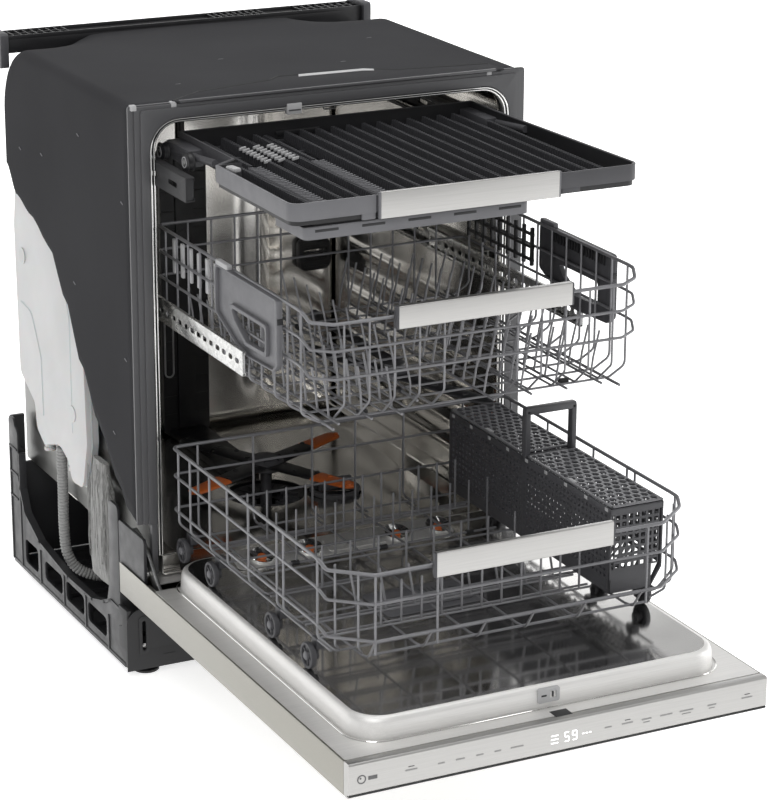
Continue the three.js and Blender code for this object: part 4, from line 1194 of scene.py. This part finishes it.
def build_third_rack():
    part = Part("third_rack_body", "third_rack", MID_GREY, GRAPHITE, ZINC_BRIGHT, LIGHT_GREY, BLACK)
    bottom, rim = 769, 790.6
    part.plate("z", third_outline(0), bottom, rim - 2, [third_outline(3)], 1, 1)
    # The outside of the left wall and of the front-left corner is a lighter moulding.
    outside = [p for p in front_part(third_outline(-0.3), -160) if p[0] < 0] + [(-131, -388.3)]
    inside = [p for p in front_part(third_outline(3), -160) if p[0] < 0] + [(-131, -385)]
    part.plate("z", outside + inside[::-1], bottom - 1, rim, (), 0, 0.6)
    part.plate("z", third_outline(-0.1), rim - 2.4, rim - 0.2, [third_outline(3.4)], 1, 0.8)
    # A thin black moulding lining the tray's inside walls is painted shade on those walls.
    part.plate("z", third_outline(3.2), 762, rim - 1, [third_outline(4.4)], 4)
    part.plate("z", third_outline(9), 760.6, 763.4, (), 4)
    # The deeper box under the front, with its row of drain slots; the slots are black bars laid on its face,
    # painted shade standing in for the openings.
    part.plate("z", round_box((-226, 88), (-384, -292), 8), 742, 757.5, (), 0, 1.5)
    part.plate("z", round_box((-214, 80), (-378, -300), 6), 757, 762, (), 4)
    for x in spaced(-196, 60, 5):
        part.box((x - 16, x + 16), (-384.5, -383), (751, 754.5), 4, bevel=0.8)
    part.box((133, 160), (-388, -384), (763, 771), 1, bevel=1.5)
    part.box((-150, -131), (-388.2, -384), (760, 771), 0, bevel=2)
    for side in (-1, 1):
        part.tube([(side * 230, y, z) for y, z in ((-120, 782), (-52, 776), (30, 768), (44, 767))], 5, 12, 1)
        part.box(mirrored(side, 211, 234), (-40, 38), (758, 782), 1, bevel=4)
        for y, z in ((-58, 772), (28, 768)):
            wheel = [(0, -6), (10.4, -6), (13, -4.4), (11.4, -2.4), (11.4, 2.4), (13, 4.4), (10.4, 6), (0, 6)]
            part.turned(wheel, (side * 241, y, z), "x", 32, 4)
            part.turned([(0, -7), (4.2, -7), (4.2, 7), (3, 7.6), (0, 7.6)], (side * 240.6, y, z), "x", 18, 2)
            part.turned([(6.4, -6.7), (7.6, -6.7), (7.6, 6.7), (6.4, 6.7)], (side * 241, y, z), "x", 28, 3,
                        closed=True)
    part.box((-73, -7), (33.4, 39.6), (770, 778), 4, bevel=2)
    part.box((-240, -229), (-200, -178), (788, 793.6), 3, bevel=2.5, turn=(8, "Z", (-234, -189, 790)))
    part.done("grey_plastic", ["third_rack_tray"])

    tray = Part("third_rack_combs", "third_rack", GRAPHITE, MID_GREY, LIGHT_GREY)
    light_rows = (-186, -96)
    for x in spaced(-204, 216, 19):
        if min(abs(x - row) for row in light_rows) > 13:
            comb(tray, x, (-372, 24), 764, 6.2, 16, 6, 0, 14)
        tray.tube([(x + 11, -374, 766), (x + 11, 28, 766)], 1.4, 6, 1)
    for x in light_rows:
        zigzag(tray, x, (-360, -150), 772, 1)
        comb(tray, x, (-130, 22), 764, 6.2, 14, 6, 0, 14)
        tray.box((x - 3, x + 3), (-368, -140), (764, 772), 0, bevel=0.6)
    for y in (-374, -262, -152, -42, 28):
        tray.box((-206, 226), (y - 0.9, y + 0.9), (763.4, 767), 0, bevel=0.4)
    for x in (-160, -140, -120):
        for y in spaced(-130, -50, 8):
            tray.box((x - 7, x + 7), (y - 1.2, y + 1.2), (778, 782), 2, bevel=0.8,
                     turn=(30, "Z", (x, y, 780)))
    tray.done("dark_plastic")
    grip_bar("third_grip", "third_rack", 129, (-393.2, -388.3), (760.4, 794.6), MID_GREY, "third_rack_handle")


def grip_bar(name, body, half, y, z, surround, node):
    """A pull across the front of a rack: a satin steel face folded over a moulded backing."""
    part = Part(name, body, STEEL_GRIP, surround)
    low, high = z
    front = y[0]
    part.plate("x", rounded([(front, low), (front, high), (y[1], high), (y[1], high - 1.4),
                             (front + 1.4, high - 1.4),
                             (front + 1.4, low + 1.4), (y[1], low + 1.4), (y[1], low)], 1.2, 3, True),
               -half + 3, half - 3, bevel=0.3)
    for side in (-1, 1):
        part.box(mirrored(side, half - 4, half), y, z, 1, bevel=1.4)
    for foot in (low + 2, high - 6):
        part.box((-half + 3, half - 3), (front + 1.8, y[1]), (foot, foot + 4), 1, bevel=0.5)
    for x in spaced(-half + 14, half - 14, 9):
        part.box((x - 1, x + 1), (front + 1.8, y[1]), (low + 4, high - 4), 1, bevel=0.3)
    part.done("brushed", [node])


# ---- Middle rack ----

def rack_hoop(half, nose, front, shoulder, rear, z, dip):
    """A wire round a rack: it runs higher along the sides and swoops down to the front at the corners."""
    side, low = [], z - dip
    for sign in (-1, 1):
        side.append([(sign * half, rear, z), (sign * half, shoulder + 14, z), (sign * half, shoulder, z - 1),
                     (sign * (half - 4), shoulder - 12, low + 2), (sign * nose, front, low)])
    left, right = side
    return left + right[::-1]


def build_middle_rack():
    part = Part("middle_rack_wires", "middle_rack", WIRE, BLACK, LIGHT_GREY)
    half, front, rear = 236, -425, 66
    top, upper, low, floor = 657, 622, 586, 508
    dip = 13
    for z, radius in ((top, 2.4), (upper, 1.9), (low, 1.9)):
        part.tube(rounded(rack_hoop(half, 206, front, -398, rear, z, dip), 9, 5, True), radius, 8,
                  closed=True)
    for y in spaced(-388, 44, 12):
        rib = [(-half + 2, y, top), (-half + 2, y, floor + 14), (-half + 26, y, floor), (half - 26, y, floor),
               (half - 2, y, floor + 14), (half - 2, y, top)]
        part.tube(rounded(rib, 12, 5), 1.6, 7)
    for x in spaced(-192, 192, 12):
        if abs(x) < 22:
            continue
        line = [(x, rear, top), (x, rear, floor + 2), (x, front + 34, floor + 2), (x, front + 1, floor + 30),
                (x, front + 1, top - dip)]
        part.tube(rounded(line, 10, 5), 1.5, 7)
    for x in (-206, 206):
        part.tube([(x, front + 3, floor - 0.2), (x, rear - 2, floor - 0.2)], 2, 8)
    rows = ((-196, -8, 62, 14), (-150, -6, 66, 14), (-108, -8, 60, 14), (24, 14, 76, 16), (78, 14, 76, 16),
            (130, 12, 70, 16), (182, 12, 66, 16))
    for x, lean, height, count in rows:
        part.tube([(x, front + 8, floor + 4), (x, rear - 1, floor + 4)], 1.7, 7)
        for y in spaced(-388, 40, count):
            tip = (x + lean, y, floor + height)
            part.tube(rounded([(x, y, floor + 3), (x + lean * 0.3, y, floor + 30), tip], 12, 3), 1.5, 6)
    # Clear cup-shelf fingers on the left side, and the dark stemware shelf on the right.
    for y in spaced(-120, 20, 6):
        part.box((-233, -229), (y - 4, y + 4), (600, 648), 2, bevel=1.5)
    for z in (604, 622, 640):
        part.box((227, 231), (-150, 40), (z - 2, z + 2), 1, bevel=1)
    for y in spaced(-146, 36, 9):
        part.box((226.5, 231.5), (y - 2.4, y + 2.4), (596, 650), 1, bevel=1)
    for x in (-146, 146):
        for y in (-380, 20):
            part.box((x - 7, x + 7), (y - 4, y + 4), (506.2, 513), 1, bevel=2)
    part.done("coated_wire", ["middle_rack_frame"])
    grip_bar("middle_grip", "middle_rack", 126, (-437.6, -428), (630.3, 659.7), GRAPHITE,
             "middle_rack_handle")
    folding_tines("middle_folding_tines", "middle_tines", "y", (-385, 20), -70, 515, 10, -12,
                  "middle_tine_row")
    for name, side in (("left", -1), ("right", 1)):
        build_adjuster(name, side)
    build_middle_sprayer()


def folding_tines(name, body, along, reach, at, z, count, lean, node):
    """A rod with a row of tines in clips, which fold down together."""
    part = Part(name, body, WIRE, BLACK)

    def spot(run, across, height):
        return (run, across, height) if along == "x" else (across, run, height)

    part.tube([spot(reach[0], at, z), spot(reach[1], at, z)], 1.8, 8)
    start, end = reach
    for k in range(count):
        run = start + (end - start) * (k + 0.5) / count
        part.tube(rounded([spot(run, at, z), spot(run, at, z + 18), spot(run, at + lean, z + 76)], 20, 3),
                  1.4, 7)
        part.turned([(0, 1), (1.4, 0.6), (1.5, 0), (0, 0)], spot(run, at + lean, z + 75.4), "z", 8)
    for share in (0.12, 0.5, 0.88):
        run = start + (end - start) * share
        part.turned([(0, -5), (3.6, -5), (3.8, 5), (0, 5)], spot(run, at, z), along, 12, 1)
    part.done("coated_wire", [node])


def build_adjuster(name, side):
    """The moulded plate at the rack's side that raises and lowers it, with its lever and window."""
    # The right-hand plate and its lever get darker greys than the left-hand ones: painted shade, for the same
    # moulding seen from inside the tub.
    plastic = MID_GREY if side < 0 else GRAPHITE
    part = Part(f"rack_lift_{name}", "middle_rack", plastic, BLACK, ZINC_BRIGHT,
                LIGHT_GREY if side < 0 else MID_GREY)
    outline = rounded([(-343.6, 572), (-343.6, 658), (-149, 658), (-148.4, 594), (-214, 566), (-250, 559),
                       (-332, 562)],
                      8, 4, True)
    window = rounded([(-306, 580), (-306, 612), (-200, 612), (-214, 597), (-248, 578)], 5, 3, True)
    near, far = mirrored(side, 239, 241.4)
    part.plate("x", outline, near, far, [window], 0, 0.8)
    near, far = mirrored(side, 240, 246.2)
    part.plate("x", outline, near, far, [scaled(outline, (-246, 610), 0.955)], 0, 1)
    frame_out = rounded([(-311, 575), (-311, 617), (-192, 617), (-209, 597), (-246, 573)], 6, 3, True)
    part.plate("x", frame_out, near, far, [window], 0, 0.8)
    near, far = mirrored(side, 237.4, 245.6)
    part.box((near, far), (-189, -151), (656, 664.6), 3, bevel=2.5)
    part.box((near, far), (-343.4, -334), (574, 657), 0, bevel=2)
    part.box((near, far), (-344.2, -342), (626, 634), 1, bevel=0.5)
    screw(part, (side * 241.4, -184, 634), "x", 4.4, 2)
    if side > 0:
        for y in spaced(-322, -186, 19):
            part.box((236.6, 239.4), (y - 2, y + 2), (640, 654), 1, bevel=0.8)
    part.done("grey_plastic", [f"rack_adjuster_{name}"])


def build_middle_sprayer():
    tube = Part("middle_spray_tube", "middle_rack", BLACK, GRAPHITE)
    tube.tube([(0, y, 498) for y in (-180, -120, 0, 40, 52)], 6.6, 18)
    tube.turned([(0, 0), (7.6, 0), (7.6, 4), (6.6, 5), (6.6, 8), (7.6, 9), (7.6, 12), (0, 12)],
                (0, 58, 498), "y", 24, 1)
    tube.turned([(0, 490.4), (15, 490.4), (15.4, 499), (11, 504), (0, 505.4)], (*MIDDLE_ARM_CENTRE, 0), "z",
                28)
    for y in spaced(-160, 30, 6):
        tube.turned([(0, -1), (7.2, -1), (7.2, 1), (0, 1)], (0, y, 498), "y", 18)
    tube.done("black_plastic", ["middle_feed_tube"])
    part = Part("middle_sprayer_arm", "middle_sprayer", BLACK, GRAPHITE)
    for angle in (1.9, 1.9 + math.pi):
        arm_blade(part, MIDDLE_ARM_CENTRE, angle, 182, 32, 482.6, 8, 0, 5)
    part.turned([(0, 476.3), (17, 476.3), (19.6, 479), (19.6, 486), (15, 489.4), (0, 489.4)],
                (*MIDDLE_ARM_CENTRE, 0), "z", 28, 1)
    part.done("black_plastic", ["middle_spray_arm"])


# ---- Lower rack ----

def build_lower_rack():
    part = Part("lower_rack_wires", "lower_rack", WIRE, GRAPHITE)
    half, front, rear = 258, -539, -24
    top, middle, low, floor = 368, 329, 280, 238
    dip = 12
    for z, radius in ((top, 2.5), (middle, 2.0), (low, 2.0)):
        part.tube(rounded(rack_hoop(half, 206, front, -490, rear, z, dip), 11, 5, True), radius, 8,
                  closed=True)
    for y in (-484, -384, -364, -276, -208, -150, -84, -44):
        rib = [(-half, y, top), (-half, y, low - 16), (-234, y, floor + 2), (234, y, floor + 2),
               (half, y, low - 16),
               (half, y, top)]
        part.tube(rounded(rib, 14, 5), 1.7, 7)
    for x in (-221, -138, -48, 19, 95, 190):
        part.tube(rounded([(x, rear, top), (x, rear, floor + 4), (x, rear - 40, floor + 4)], 12, 5), 1.7, 7)
    for x in (-206, -129, -52, 17, 93, 176):
        line = [(x, rear - 2, floor - 1), (x, front + 40, floor - 1), (x, front + 18, floor + 2),
                (x, front - 2, low - dip)]
        part.tube(rounded(line, 16, 6), 1.7, 7)
    for x in (-205, -119, 184):
        part.tube([(x, front + 0.6, top - dip), (x, front + 0.6, floor + 12)], 1.7, 7)
    part.tube([(-200, front + 24, floor + 2), (200, front + 24, floor + 2)], 1.9, 8)
    for side in (-1, 1):
        for share in (0.3, 0.72):
            x, y = side * (206 + 52 * share), front + 49 * share
            drop = dip * (1 - share)
            part.tube(rounded([(x, y, top - drop), (x, y, floor + 20), (x * 0.94, y + 16, floor + 4)], 10,
                              4), 1.6, 7)
        part.tube([(side * 236, rear - 4, floor), (side * 236, -477, floor)], 2, 8)
        for y in WHEEL_PLACES:
            part.box(mirrored(side, 226, 238.6), (y - 8, y + 8), (225, 240), 1, bevel=2)
            part.turned([(0, -2.4), (7, -2.4), (7.4, 2.4), (0, 2.4)], (side * 236.8, y, WHEEL_Z), "x", 20, 1)
            part.box(mirrored(side, 233, 238.8), (y - 4, y + 4), (212, 232), 1, bevel=1.2)
    # Fixed rows of tines: each stands on a pair of rods.
    rows = ((-105, -183, 136, 12, 76, 0), (-292, -160, 128, 8, 62, 0), (-398, -160, 128, 8, 62, -10),
            (-444, -150, 140, 11, 62, 0))
    for y, start, end, count, height, lean in rows:
        for shift in (0, 9):
            part.tube([(-234, y + shift, floor + 5), (158, y + shift, floor + 5)], 1.6, 7)
        for x in spaced(start, end, count):
            part.tube([(x, y, floor + 5), (x + lean, y, floor + height), (x + lean, y, floor + height + 2)],
                      1.6, 7,
                      radii=[1.6, 1.6, 0.9])
    part.done("coated_wire", ["lower_rack_frame"])
    grip_bar("lower_grip", "lower_rack", 129, (-549.8, -542.2), (342.3, 374.7), GRAPHITE, "lower_rack_handle")
    folding_tines("lower_folding_tines", "lower_tines", "x", (-198, 150), -200, 244, 12, 0, "lower_tine_row")
    for name, side in (("left", -1), ("right", 1)):
        for index, y in enumerate(WHEEL_PLACES):
            build_wheel(name, side, index + 1, y)
    build_basket()


def build_wheel(name, side, number, y):
    part = Part(f"rack_roller_{name}_{number}", f"wheel_{name}_{number}", GRAPHITE, MID_GREY)
    centre = (side * WHEEL_X, y, WHEEL_Z)
    part.turned([(14, -3.6), (16.8, -3.6), (17.4, -2.6), (17.4, 2.6), (16.8, 3.6), (14, 3.6), (13.2, 2.6),
                 (13.2, -2.6)],
                centre, "x", 36, closed=True)
    part.turned([(0, -5.8), (4, -5.8), (5.6, -4.6), (5.6, 4.6), (4, 5.8), (0, 5.8)], centre, "x", 20, 1)
    for k in range(6):
        part.box((side * WHEEL_X - 2, side * WHEEL_X + 2), (y - 1.3, y + 1.3), (221, 230.6), 0,
                 turn=(k * 60, "X", centre), bevel=0.5)
    part.turned([(4.8, -1), (13.6, -1), (13.6, 1), (4.8, 1)], (side * 245.4, y, WHEEL_Z), "x", 30,
                closed=True)
    part.done("dark_plastic", [f"lower_wheel_{name}_{number}"])


def build_basket():
    part = Part("cutlery_basket_shell", "lower_rack", BASKET_GREY, LIGHT_GREY)
    x0, x1, y0, y1, z0, z1 = 165.6, 245.4, -477.4, -30.6, 242.4, 359.6
    part.lattice("x", grid_cells((y0 + 8, y1 - 8), (z0 + 18, z1 - 8), 44, 11), x0 + 1.2, 4.2, 2.6)
    part.lattice("x", grid_cells((y0 + 8, y1 - 8), (z0 + 40, z1 - 8), 44, 8), x1 - 1.2, 3.6, 2.6)
    for y in (y0 + 1.2, y1 - 1.2):
        part.lattice("y", grid_cells((x0 + 6, x1 - 6), (z0 + 32, z1 - 8), 7, 8), y, 3.4, 2.6)
    part.lattice("z", grid_cells((x0 + 4, x1 - 20), (y0 + 6, y1 - 6), 6, 42), z0 + 1.4, 3.4, 2.4)
    section = [(x0, z0), (x1 - 16, z0), (x1, z0 + 26), (x1, z1), (x0, z1)]
    inside = [(x0 + 2.4, z0 + 2.4), (x1 - 17, z0 + 2.4), (x1 - 2.4, z0 + 27), (x1 - 2.4, z1 - 2.4),
              (x0 + 2.4, z1 - 2.4)]
    for a, b in ((y0, y0 + 8), (y1 - 8, y1), (-252.6, -237.4)):
        part.plate("y", section, a, b, [inside], bevel=0.6)
    for x in (x0, x1 - 2.6):
        part.box((x, x + 2.6), (y0, y1), (z1 - 10, z1), bevel=0.8)
    part.box((x0 + 0.2, x0 + 2.4), (y0, y1), (z0, z0 + 19), bevel=0.4)
    for y in (y0 + 0.2, y1 - 2.4):
        part.box((x0, x1 - 16), (y, y + 2.2), (z0, z0 + 33), bevel=0.4)
    for x in (x0, x1 - 2.6):
        part.box((x, x + 2.6), (y0, y1), (z0 + (16 if x == x0 else 30), z0 + (20 if x == x0 else 36)),
                 bevel=0.6)
    part.box((x0, x0 + 2.6), (y0, y1), (z0, z0 + 6), bevel=0.8)
    wedge = [(x1 - 18, z0), (x1 - 15.4, z0), (x1, z0 + 25), (x1, z0 + 30), (x1 - 2.4, z0 + 30)]
    for y in spaced(y0 + 6, y1 - 6, 22):
        part.plate("y", wedge, y - 1, y + 1)
    for y in (y0, y1 - 2.6):
        part.box((x0, x1), (y, y + 2.6), (z1 - 9, z1), bevel=0.6)
    for y in spaced(y0 + 12, y1 - 12, 9):
        part.box((x0 - 0.4, x0 + 2), (y - 4, y + 4), (z1 - 6, z1 - 1), 1, bevel=0.6)
    bail = rounded([(169.5, -245, 352), (169.5, -245, 424.6), (241.5, -245, 424.6), (241.5, -245, 352)], 12,
                   6)
    part.tube(bail, 4.2, 12)
    part.box((166, 245), (-251, -239), (418.8, 429.2), bevel=2.4)
    for x in (169.6, 241.4):
        part.box((x - 3.8, x + 3.8), (-251, -239), (350, 426), bevel=1.6)
    part.done("dark_plastic", ["cutlery_basket"])
    for name, body, a, b in (("front", "front_basket_lid", -476.6, -252.8),
                             ("rear", "rear_basket_lid", -237.2, -31.4)):
        lid = Part(f"basket_lid_mesh_{name}", body, LID_GREY, LIGHT_GREY)
        lid.lattice("z", hex_cells((170, 242), (a + 3, b - 3), 12.0, 1.1), 361.8, 3.0, 2.6)
        for x in (167.2, 241.6):
            lid.box((x, x + 3.2), (a, b), (360.5, 363.1), bevel=0.8)
        for y in (a, b - 3.2):
            lid.box((167.2, 244.8), (y, y + 3.2), (360.5, 363.1), bevel=0.8)
        lid.box((170, 176), ((a + b) / 2 - 9, (a + b) / 2 + 9), (360.6, 363.2), 1, bevel=0.8)
        lid.done("dark_plastic", [f"basket_lid_{name}"])


# ---- Door ----

def build_door_skin():
    part = Part("door_skin", "door", STEEL_DOOR, BLACK_SHEET)
    under, rim, front, heel = 124.2, 169.4, -640, 84
    part.plate("z", round_box((-297.8, 297.8), (front, heel), 1.5, 2), under, under + 1.4, bevel=0.5)
    for side in (-1, 1):
        part.box(mirrored(side, 296.4, 297.9), (front, heel), (under, rim), bevel=0.6)
        part.box(mirrored(side, 292.6, 297.9), (front, heel - 100), (rim - 1.5, rim), bevel=0.5)
        part.box(mirrored(side, 285, 296), (front + 30, -150), (126, 129), 1, bevel=0.5)
    part.box((-297.6, 297.6), (heel - 1.5, heel), (under, 150), bevel=0.5)
    for y in spaced(-560, -60, 6):
        part.box((-280, 280), (y - 12, y + 12), (125.4, 130), 1, bevel=1.5)
    part.done("brushed", ["door_outer_panel"])


def pan_outline(inset, half=263, front=-612, rear=-18, corner=45):
    return round_box((-half + inset, half - inset), (front + inset, rear - inset), corner - inset * 0.6, 9)


def build_door_pan():
    """The inner door: a pressed steel pan with a rolled shoulder, standing on its flange."""
    part = Part("door_pan", "door", STEEL_PAN, STEEL_FLANGE)
    levels = [(0.0, 170), (0.4, 172), (1.0, 184), (1.8, 191), (3.6, 195.8), (6.5, 198.2), (10, 198.9)]
    rows = [[(x, y, z) for x, y in pan_outline(inset)] for inset, z in levels]
    part.skin(rows, 1, closed=True)
    top = pan_outline(10)
    holes = [round_box((-80, 60), (-330, -248), 4)]
    part.plate("z", top, 197.5, 198.9, holes)
    flange_hole = pan_outline(0.4)
    outer = round_box((-295.4, 295.4), (-639.6, -42), 3, 3)
    part.plate("z", outer, 168.8, 169.9, [front_part(flange_hole, -44)], 1)
    part.plate("z", round_box((-280, 280), (-20, 61.6), 3, 3), 168.8, 169.9, material=1)
    bead = [(x, y, 170.6) for x, y in pan_outline(-4)]
    part.tube(bead, 0.9, 6, closed=True)
    piece = part.done("stainless", ["door_liner"], angle=40)
    seal = Part("door_bottom_seal", "door", RUBBER)
    seal.tube([(x, 40, 171.5) for x in (-262, -120, 0, 120, 262)], 2.2, 10)
    seal.done("rubber")
    return piece


def build_control_strip():
    part = Part("control_strip", "door", STEEL_STRIP, BLACK_SHEET)
    section = rounded([(-654.9, 131), (-654.9, 168), (-652.6, 169.9), (-640.6, 169.9), (-640.6, 124.2),
                       (-651.5, 124.2)],
                      1.6, 3, True)
    part.plate("x", section, -297.8, 297.8)
    part.box((-297.8, 297.8), (-654.6, -650), (126.6, 128.4), 1)
    part.box((-7, 17), (-643.6, -626), (169.2, 170.2), 1, bevel=0.4)
    part.done("brushed", ["control_panel"])
    marks = Part("control_marks", "door", MARKS, MARKS_DARK)
    face = (-655.3, -654.8)
    # A ring and a bar stand in for a maker's sign, and each key has a short bar for its name.
    marks.turned([(4.4, -0.2), (6, -0.2), (6, 0.2), (4.4, 0.2)], (-281, -655, 148), "y", 28, 1, closed=True)
    marks.turned([(0, -0.2), (1.3, -0.2), (1.3, 0.2), (0, 0.2)], (-282.5, -655, 149.5), "y", 14, 1)
    marks.box((-272, -260), face, (145.6, 150.4), 1)
    keys = ((-214, 16), (-173, 9), (-147, 12), (-120, 10), (-95, 9), (-68, 18), (62, 10), (90, 16), (118, 14),
            (147, 18), (177, 20), (215, 13), (268, 16))
    two_line_keys, dotted_keys = (118, 177, 215), (-214, 90, 268)
    for x, width in keys:
        marks.box((x - width / 2, x + width / 2), face, (146.2, 148), 0)
        if x in two_line_keys:
            marks.box((x - width / 3, x + width / 3), face, (142.4, 143.6), 0)
        if x in dotted_keys:
            marks.box((x - 4, x + 4), face, (151, 152), 1)
    marks.done()
    build_display()


def build_display():
    """Two seven-bar digits that show 59 minutes, with small bars beside them."""
    part = Part("display_digits", "door", DIGITS)
    face = (-655.4, -654.8)
    bars = {"top": (0, 12, 0), "middle": (0, 6, 0), "bottom": (0, 0, 0), "upper_left": (-3, 9, 1),
            "upper_right": (3, 9, 1), "lower_right": (3, 3, 1)}
    digits = {5: ("top", "middle", "bottom", "upper_left", "lower_right"),
              9: ("top", "middle", "bottom", "upper_left", "upper_right", "lower_right")}
    for digit, x in ((5, 2.5), (9, 13.5)):
        for name in digits[digit]:
            dx, dz, upright = bars[name]
            width, height = (0.5, 2.6) if upright else (2.6, 0.5)
            part.box((x + dx - width, x + dx + width), face, (140.5 + dz - height, 140.5 + dz + height))
    for z in (141, 146, 151):
        part.box((-20, -10), face, (z - 0.5, z + 0.5))
    for x in (26, 31, 36):
        part.box((x - 1.4, x + 1.4), face, (145.4, 146.6))
    part.done()


def build_hinge_arms():
    outline = rounded([(-120, 132.4), (-120, 150), (-45, 164), (18, 222), (50, 231.6), (59.6, 222),
                       (44, 190), (26, 160),
                       (10, 132.4)], 7, 4, True)
    window = rounded([(-20, 152), (16, 196), (34, 196), (14, 152)], 5, 4, True)
    for name, side in (("left", -1), ("right", 1)):
        part = Part(f"hinge_plate_{name}", "door", ZINC, ZINC_BRIGHT, PALE)
        near, far = mirrored(side, 283.8, 286)
        part.plate("x", outline, near, far, [window], 0, 0.5)
        near, far = mirrored(side, 284, 288.2)
        part.plate("x", outline, near, far, [scaled(outline, (-20, 170), 0.93)], 0, 0.5)
        part.turned([(0, -2), (6, -2), (6, 1.2), (4.6, 2.1), (0, 2.1)], (side * 288, 5, 177), "x", 24, 1)
        for y, z in ((-96, 141), (-58, 146), (40, 218), (-30, 150)):
            part.turned([(0, -2), (4.2, -2), (4.2, 0.6), (2.6, 1.6), (0, 1.8)] if side > 0 else
                        [(0, 2), (4.2, 2), (4.2, -0.6), (2.6, -1.6), (0, -1.8)], (side * 286.6, y, z), "x",
                        18, 1)
        part.box(mirrored(side, 284.2, 289.8), (44, 56), (208, 222), 2, bevel=2)
        part.done("galvanised", [f"hinge_arm_{name}"])


def build_latch():
    part = Part("latch_box", "latch", LIGHT_GREY, BLACK)
    part.plate("y", round_box((-15.6, 15.6), (176.4, 195.6), 3), -612.8, -600.4,
               [round_box((2, 11), (181, 191), 1.5)], 0, 0.8)
    part.box((2, 11), (-608, -603), (181, 191), 1, bevel=0.5)
    part.tube([(6.5, -611, 182.4), (6.5, -611.8, 186), (6.5, -611, 189.6)], 1.1, 8, 1)
    part.box((-11, -3), (-612.9, -611), (184.6, 187.4), 1, bevel=0.5)
    part.done("grey_plastic", ["door_latch"])


def build_dispenser():
    part = Part("detergent_dispenser", "door", MID_GREY, GRAPHITE, PALE)
    top = 199.3
    cup = round_box((-12, 50), (-318, -260), 6)
    part.plate("z", round_box((-81.6, 61.6), (-331.6, -246.4), 8), top, top + 1.9, [cup], 0, 0.7)
    part.plate("z", round_box((-75, 55), (-325, -253), 5), 177, 180, material=1)
    part.plate("z", round_box((-14, 52), (-320, -258), 7), 180, top + 0.4, [cup])
    part.turned([(0, top + 1), (13.6, top + 1), (13.8, top + 3.4), (11, top + 4.6), (0, top + 4.6)],
                (-46, -289, 0),
                "z", 36, 1)
    part.box((-57, -35), (-291, -287), (top + 4, top + 5), 2, bevel=0.4)
    part.turned([(15, 0), (17, 0), (17, 1.4), (15, 1.4)], (-46, -289, top + 1.2), "z", 36, 0, closed=True)
    part.done("grey_plastic", ["dispenser_body"])
    lid = Part("detergent_flap", "detergent_lid", MID_GREY, GRAPHITE)
    lid.plate("z", round_box((-15.6, 53.6), (-319.6, -258.4), 6), 201.8, 203.8, bevel=0.8)
    for x in spaced(-6, 20, 5):
        lid.box((x - 1, x + 1), (-310, -268), (203.4, 204.5), 1, bevel=0.4)
    lid.box((34, 46), (-300, -278), (203.4, 204.5), 1, bevel=0.4)
    lid.done("grey_plastic", ["dispenser_lid"])


def build_steam_bar():
    """The bright strip that leans back at the door's foot, with its round orange-hearted jets."""
    part = Part("steam_strip", "door", CHROME, ORANGE, STEEL_FLANGE)
    top = 199.3
    part.plate("z", round_box((-190, 145), (-92, -48), 9), top, top + 1.1, material=2, bevel=0.4)
    part.plate("z", round_box((-50, 40), (-86, -54), 6), top + 1, top + 2.2, material=2, bevel=0.8)
    for x in spaced(-38, 28, 7):
        part.box((x - 2.4, x + 2.4), (-78, -62), (top + 2, top + 2.8), 2, bevel=0.4)
    for x in (-147, -74, 61, 127):
        part.turned([(6, top + 1.2), (13, top + 2.6), (17.4, top + 4.7), (18.4, top + 4.2), (18.4, top + 0.6),
                     (0, top + 0.6), (0, top + 1.2)], (x, -70, 0), "z", 36)
        part.turned([(0, top + 4.2), (3.4, top + 4), (6, top + 2.6), (6.6, top + 1), (0, top + 1)],
                    (x, -70, 0),
                    "z", 24, 1)
    part.lean(16, "X", (0, -92, top))
    part.done("chrome", ["steam_bar"])


# ---- Assembly ----

def build_all():
    tub = build_tub()
    build_gasket()
    build_tub_rim()
    build_front_frame()
    build_blanket()
    build_rear_bar()
    build_base()
    build_kick_plate()
    build_feet()
    build_counterweight()
    build_water_guide()
    build_fibre_pad()
    build_drain_hose()
    build_pump()
    build_feed_duct()
    build_sump()
    build_filter()
    build_lower_sprayer()
    build_top_sprayer()
    build_strike()
    build_rails()
    build_third_rack()
    build_middle_rack()
    build_lower_rack()
    build_door_skin()
    build_door_pan()
    build_control_strip()
    build_hinge_arms()
    build_latch()
    build_dispenser()
    build_steam_bar()


add_camera()
add_studio()
build_all()
bpy.context.view_layer.update()
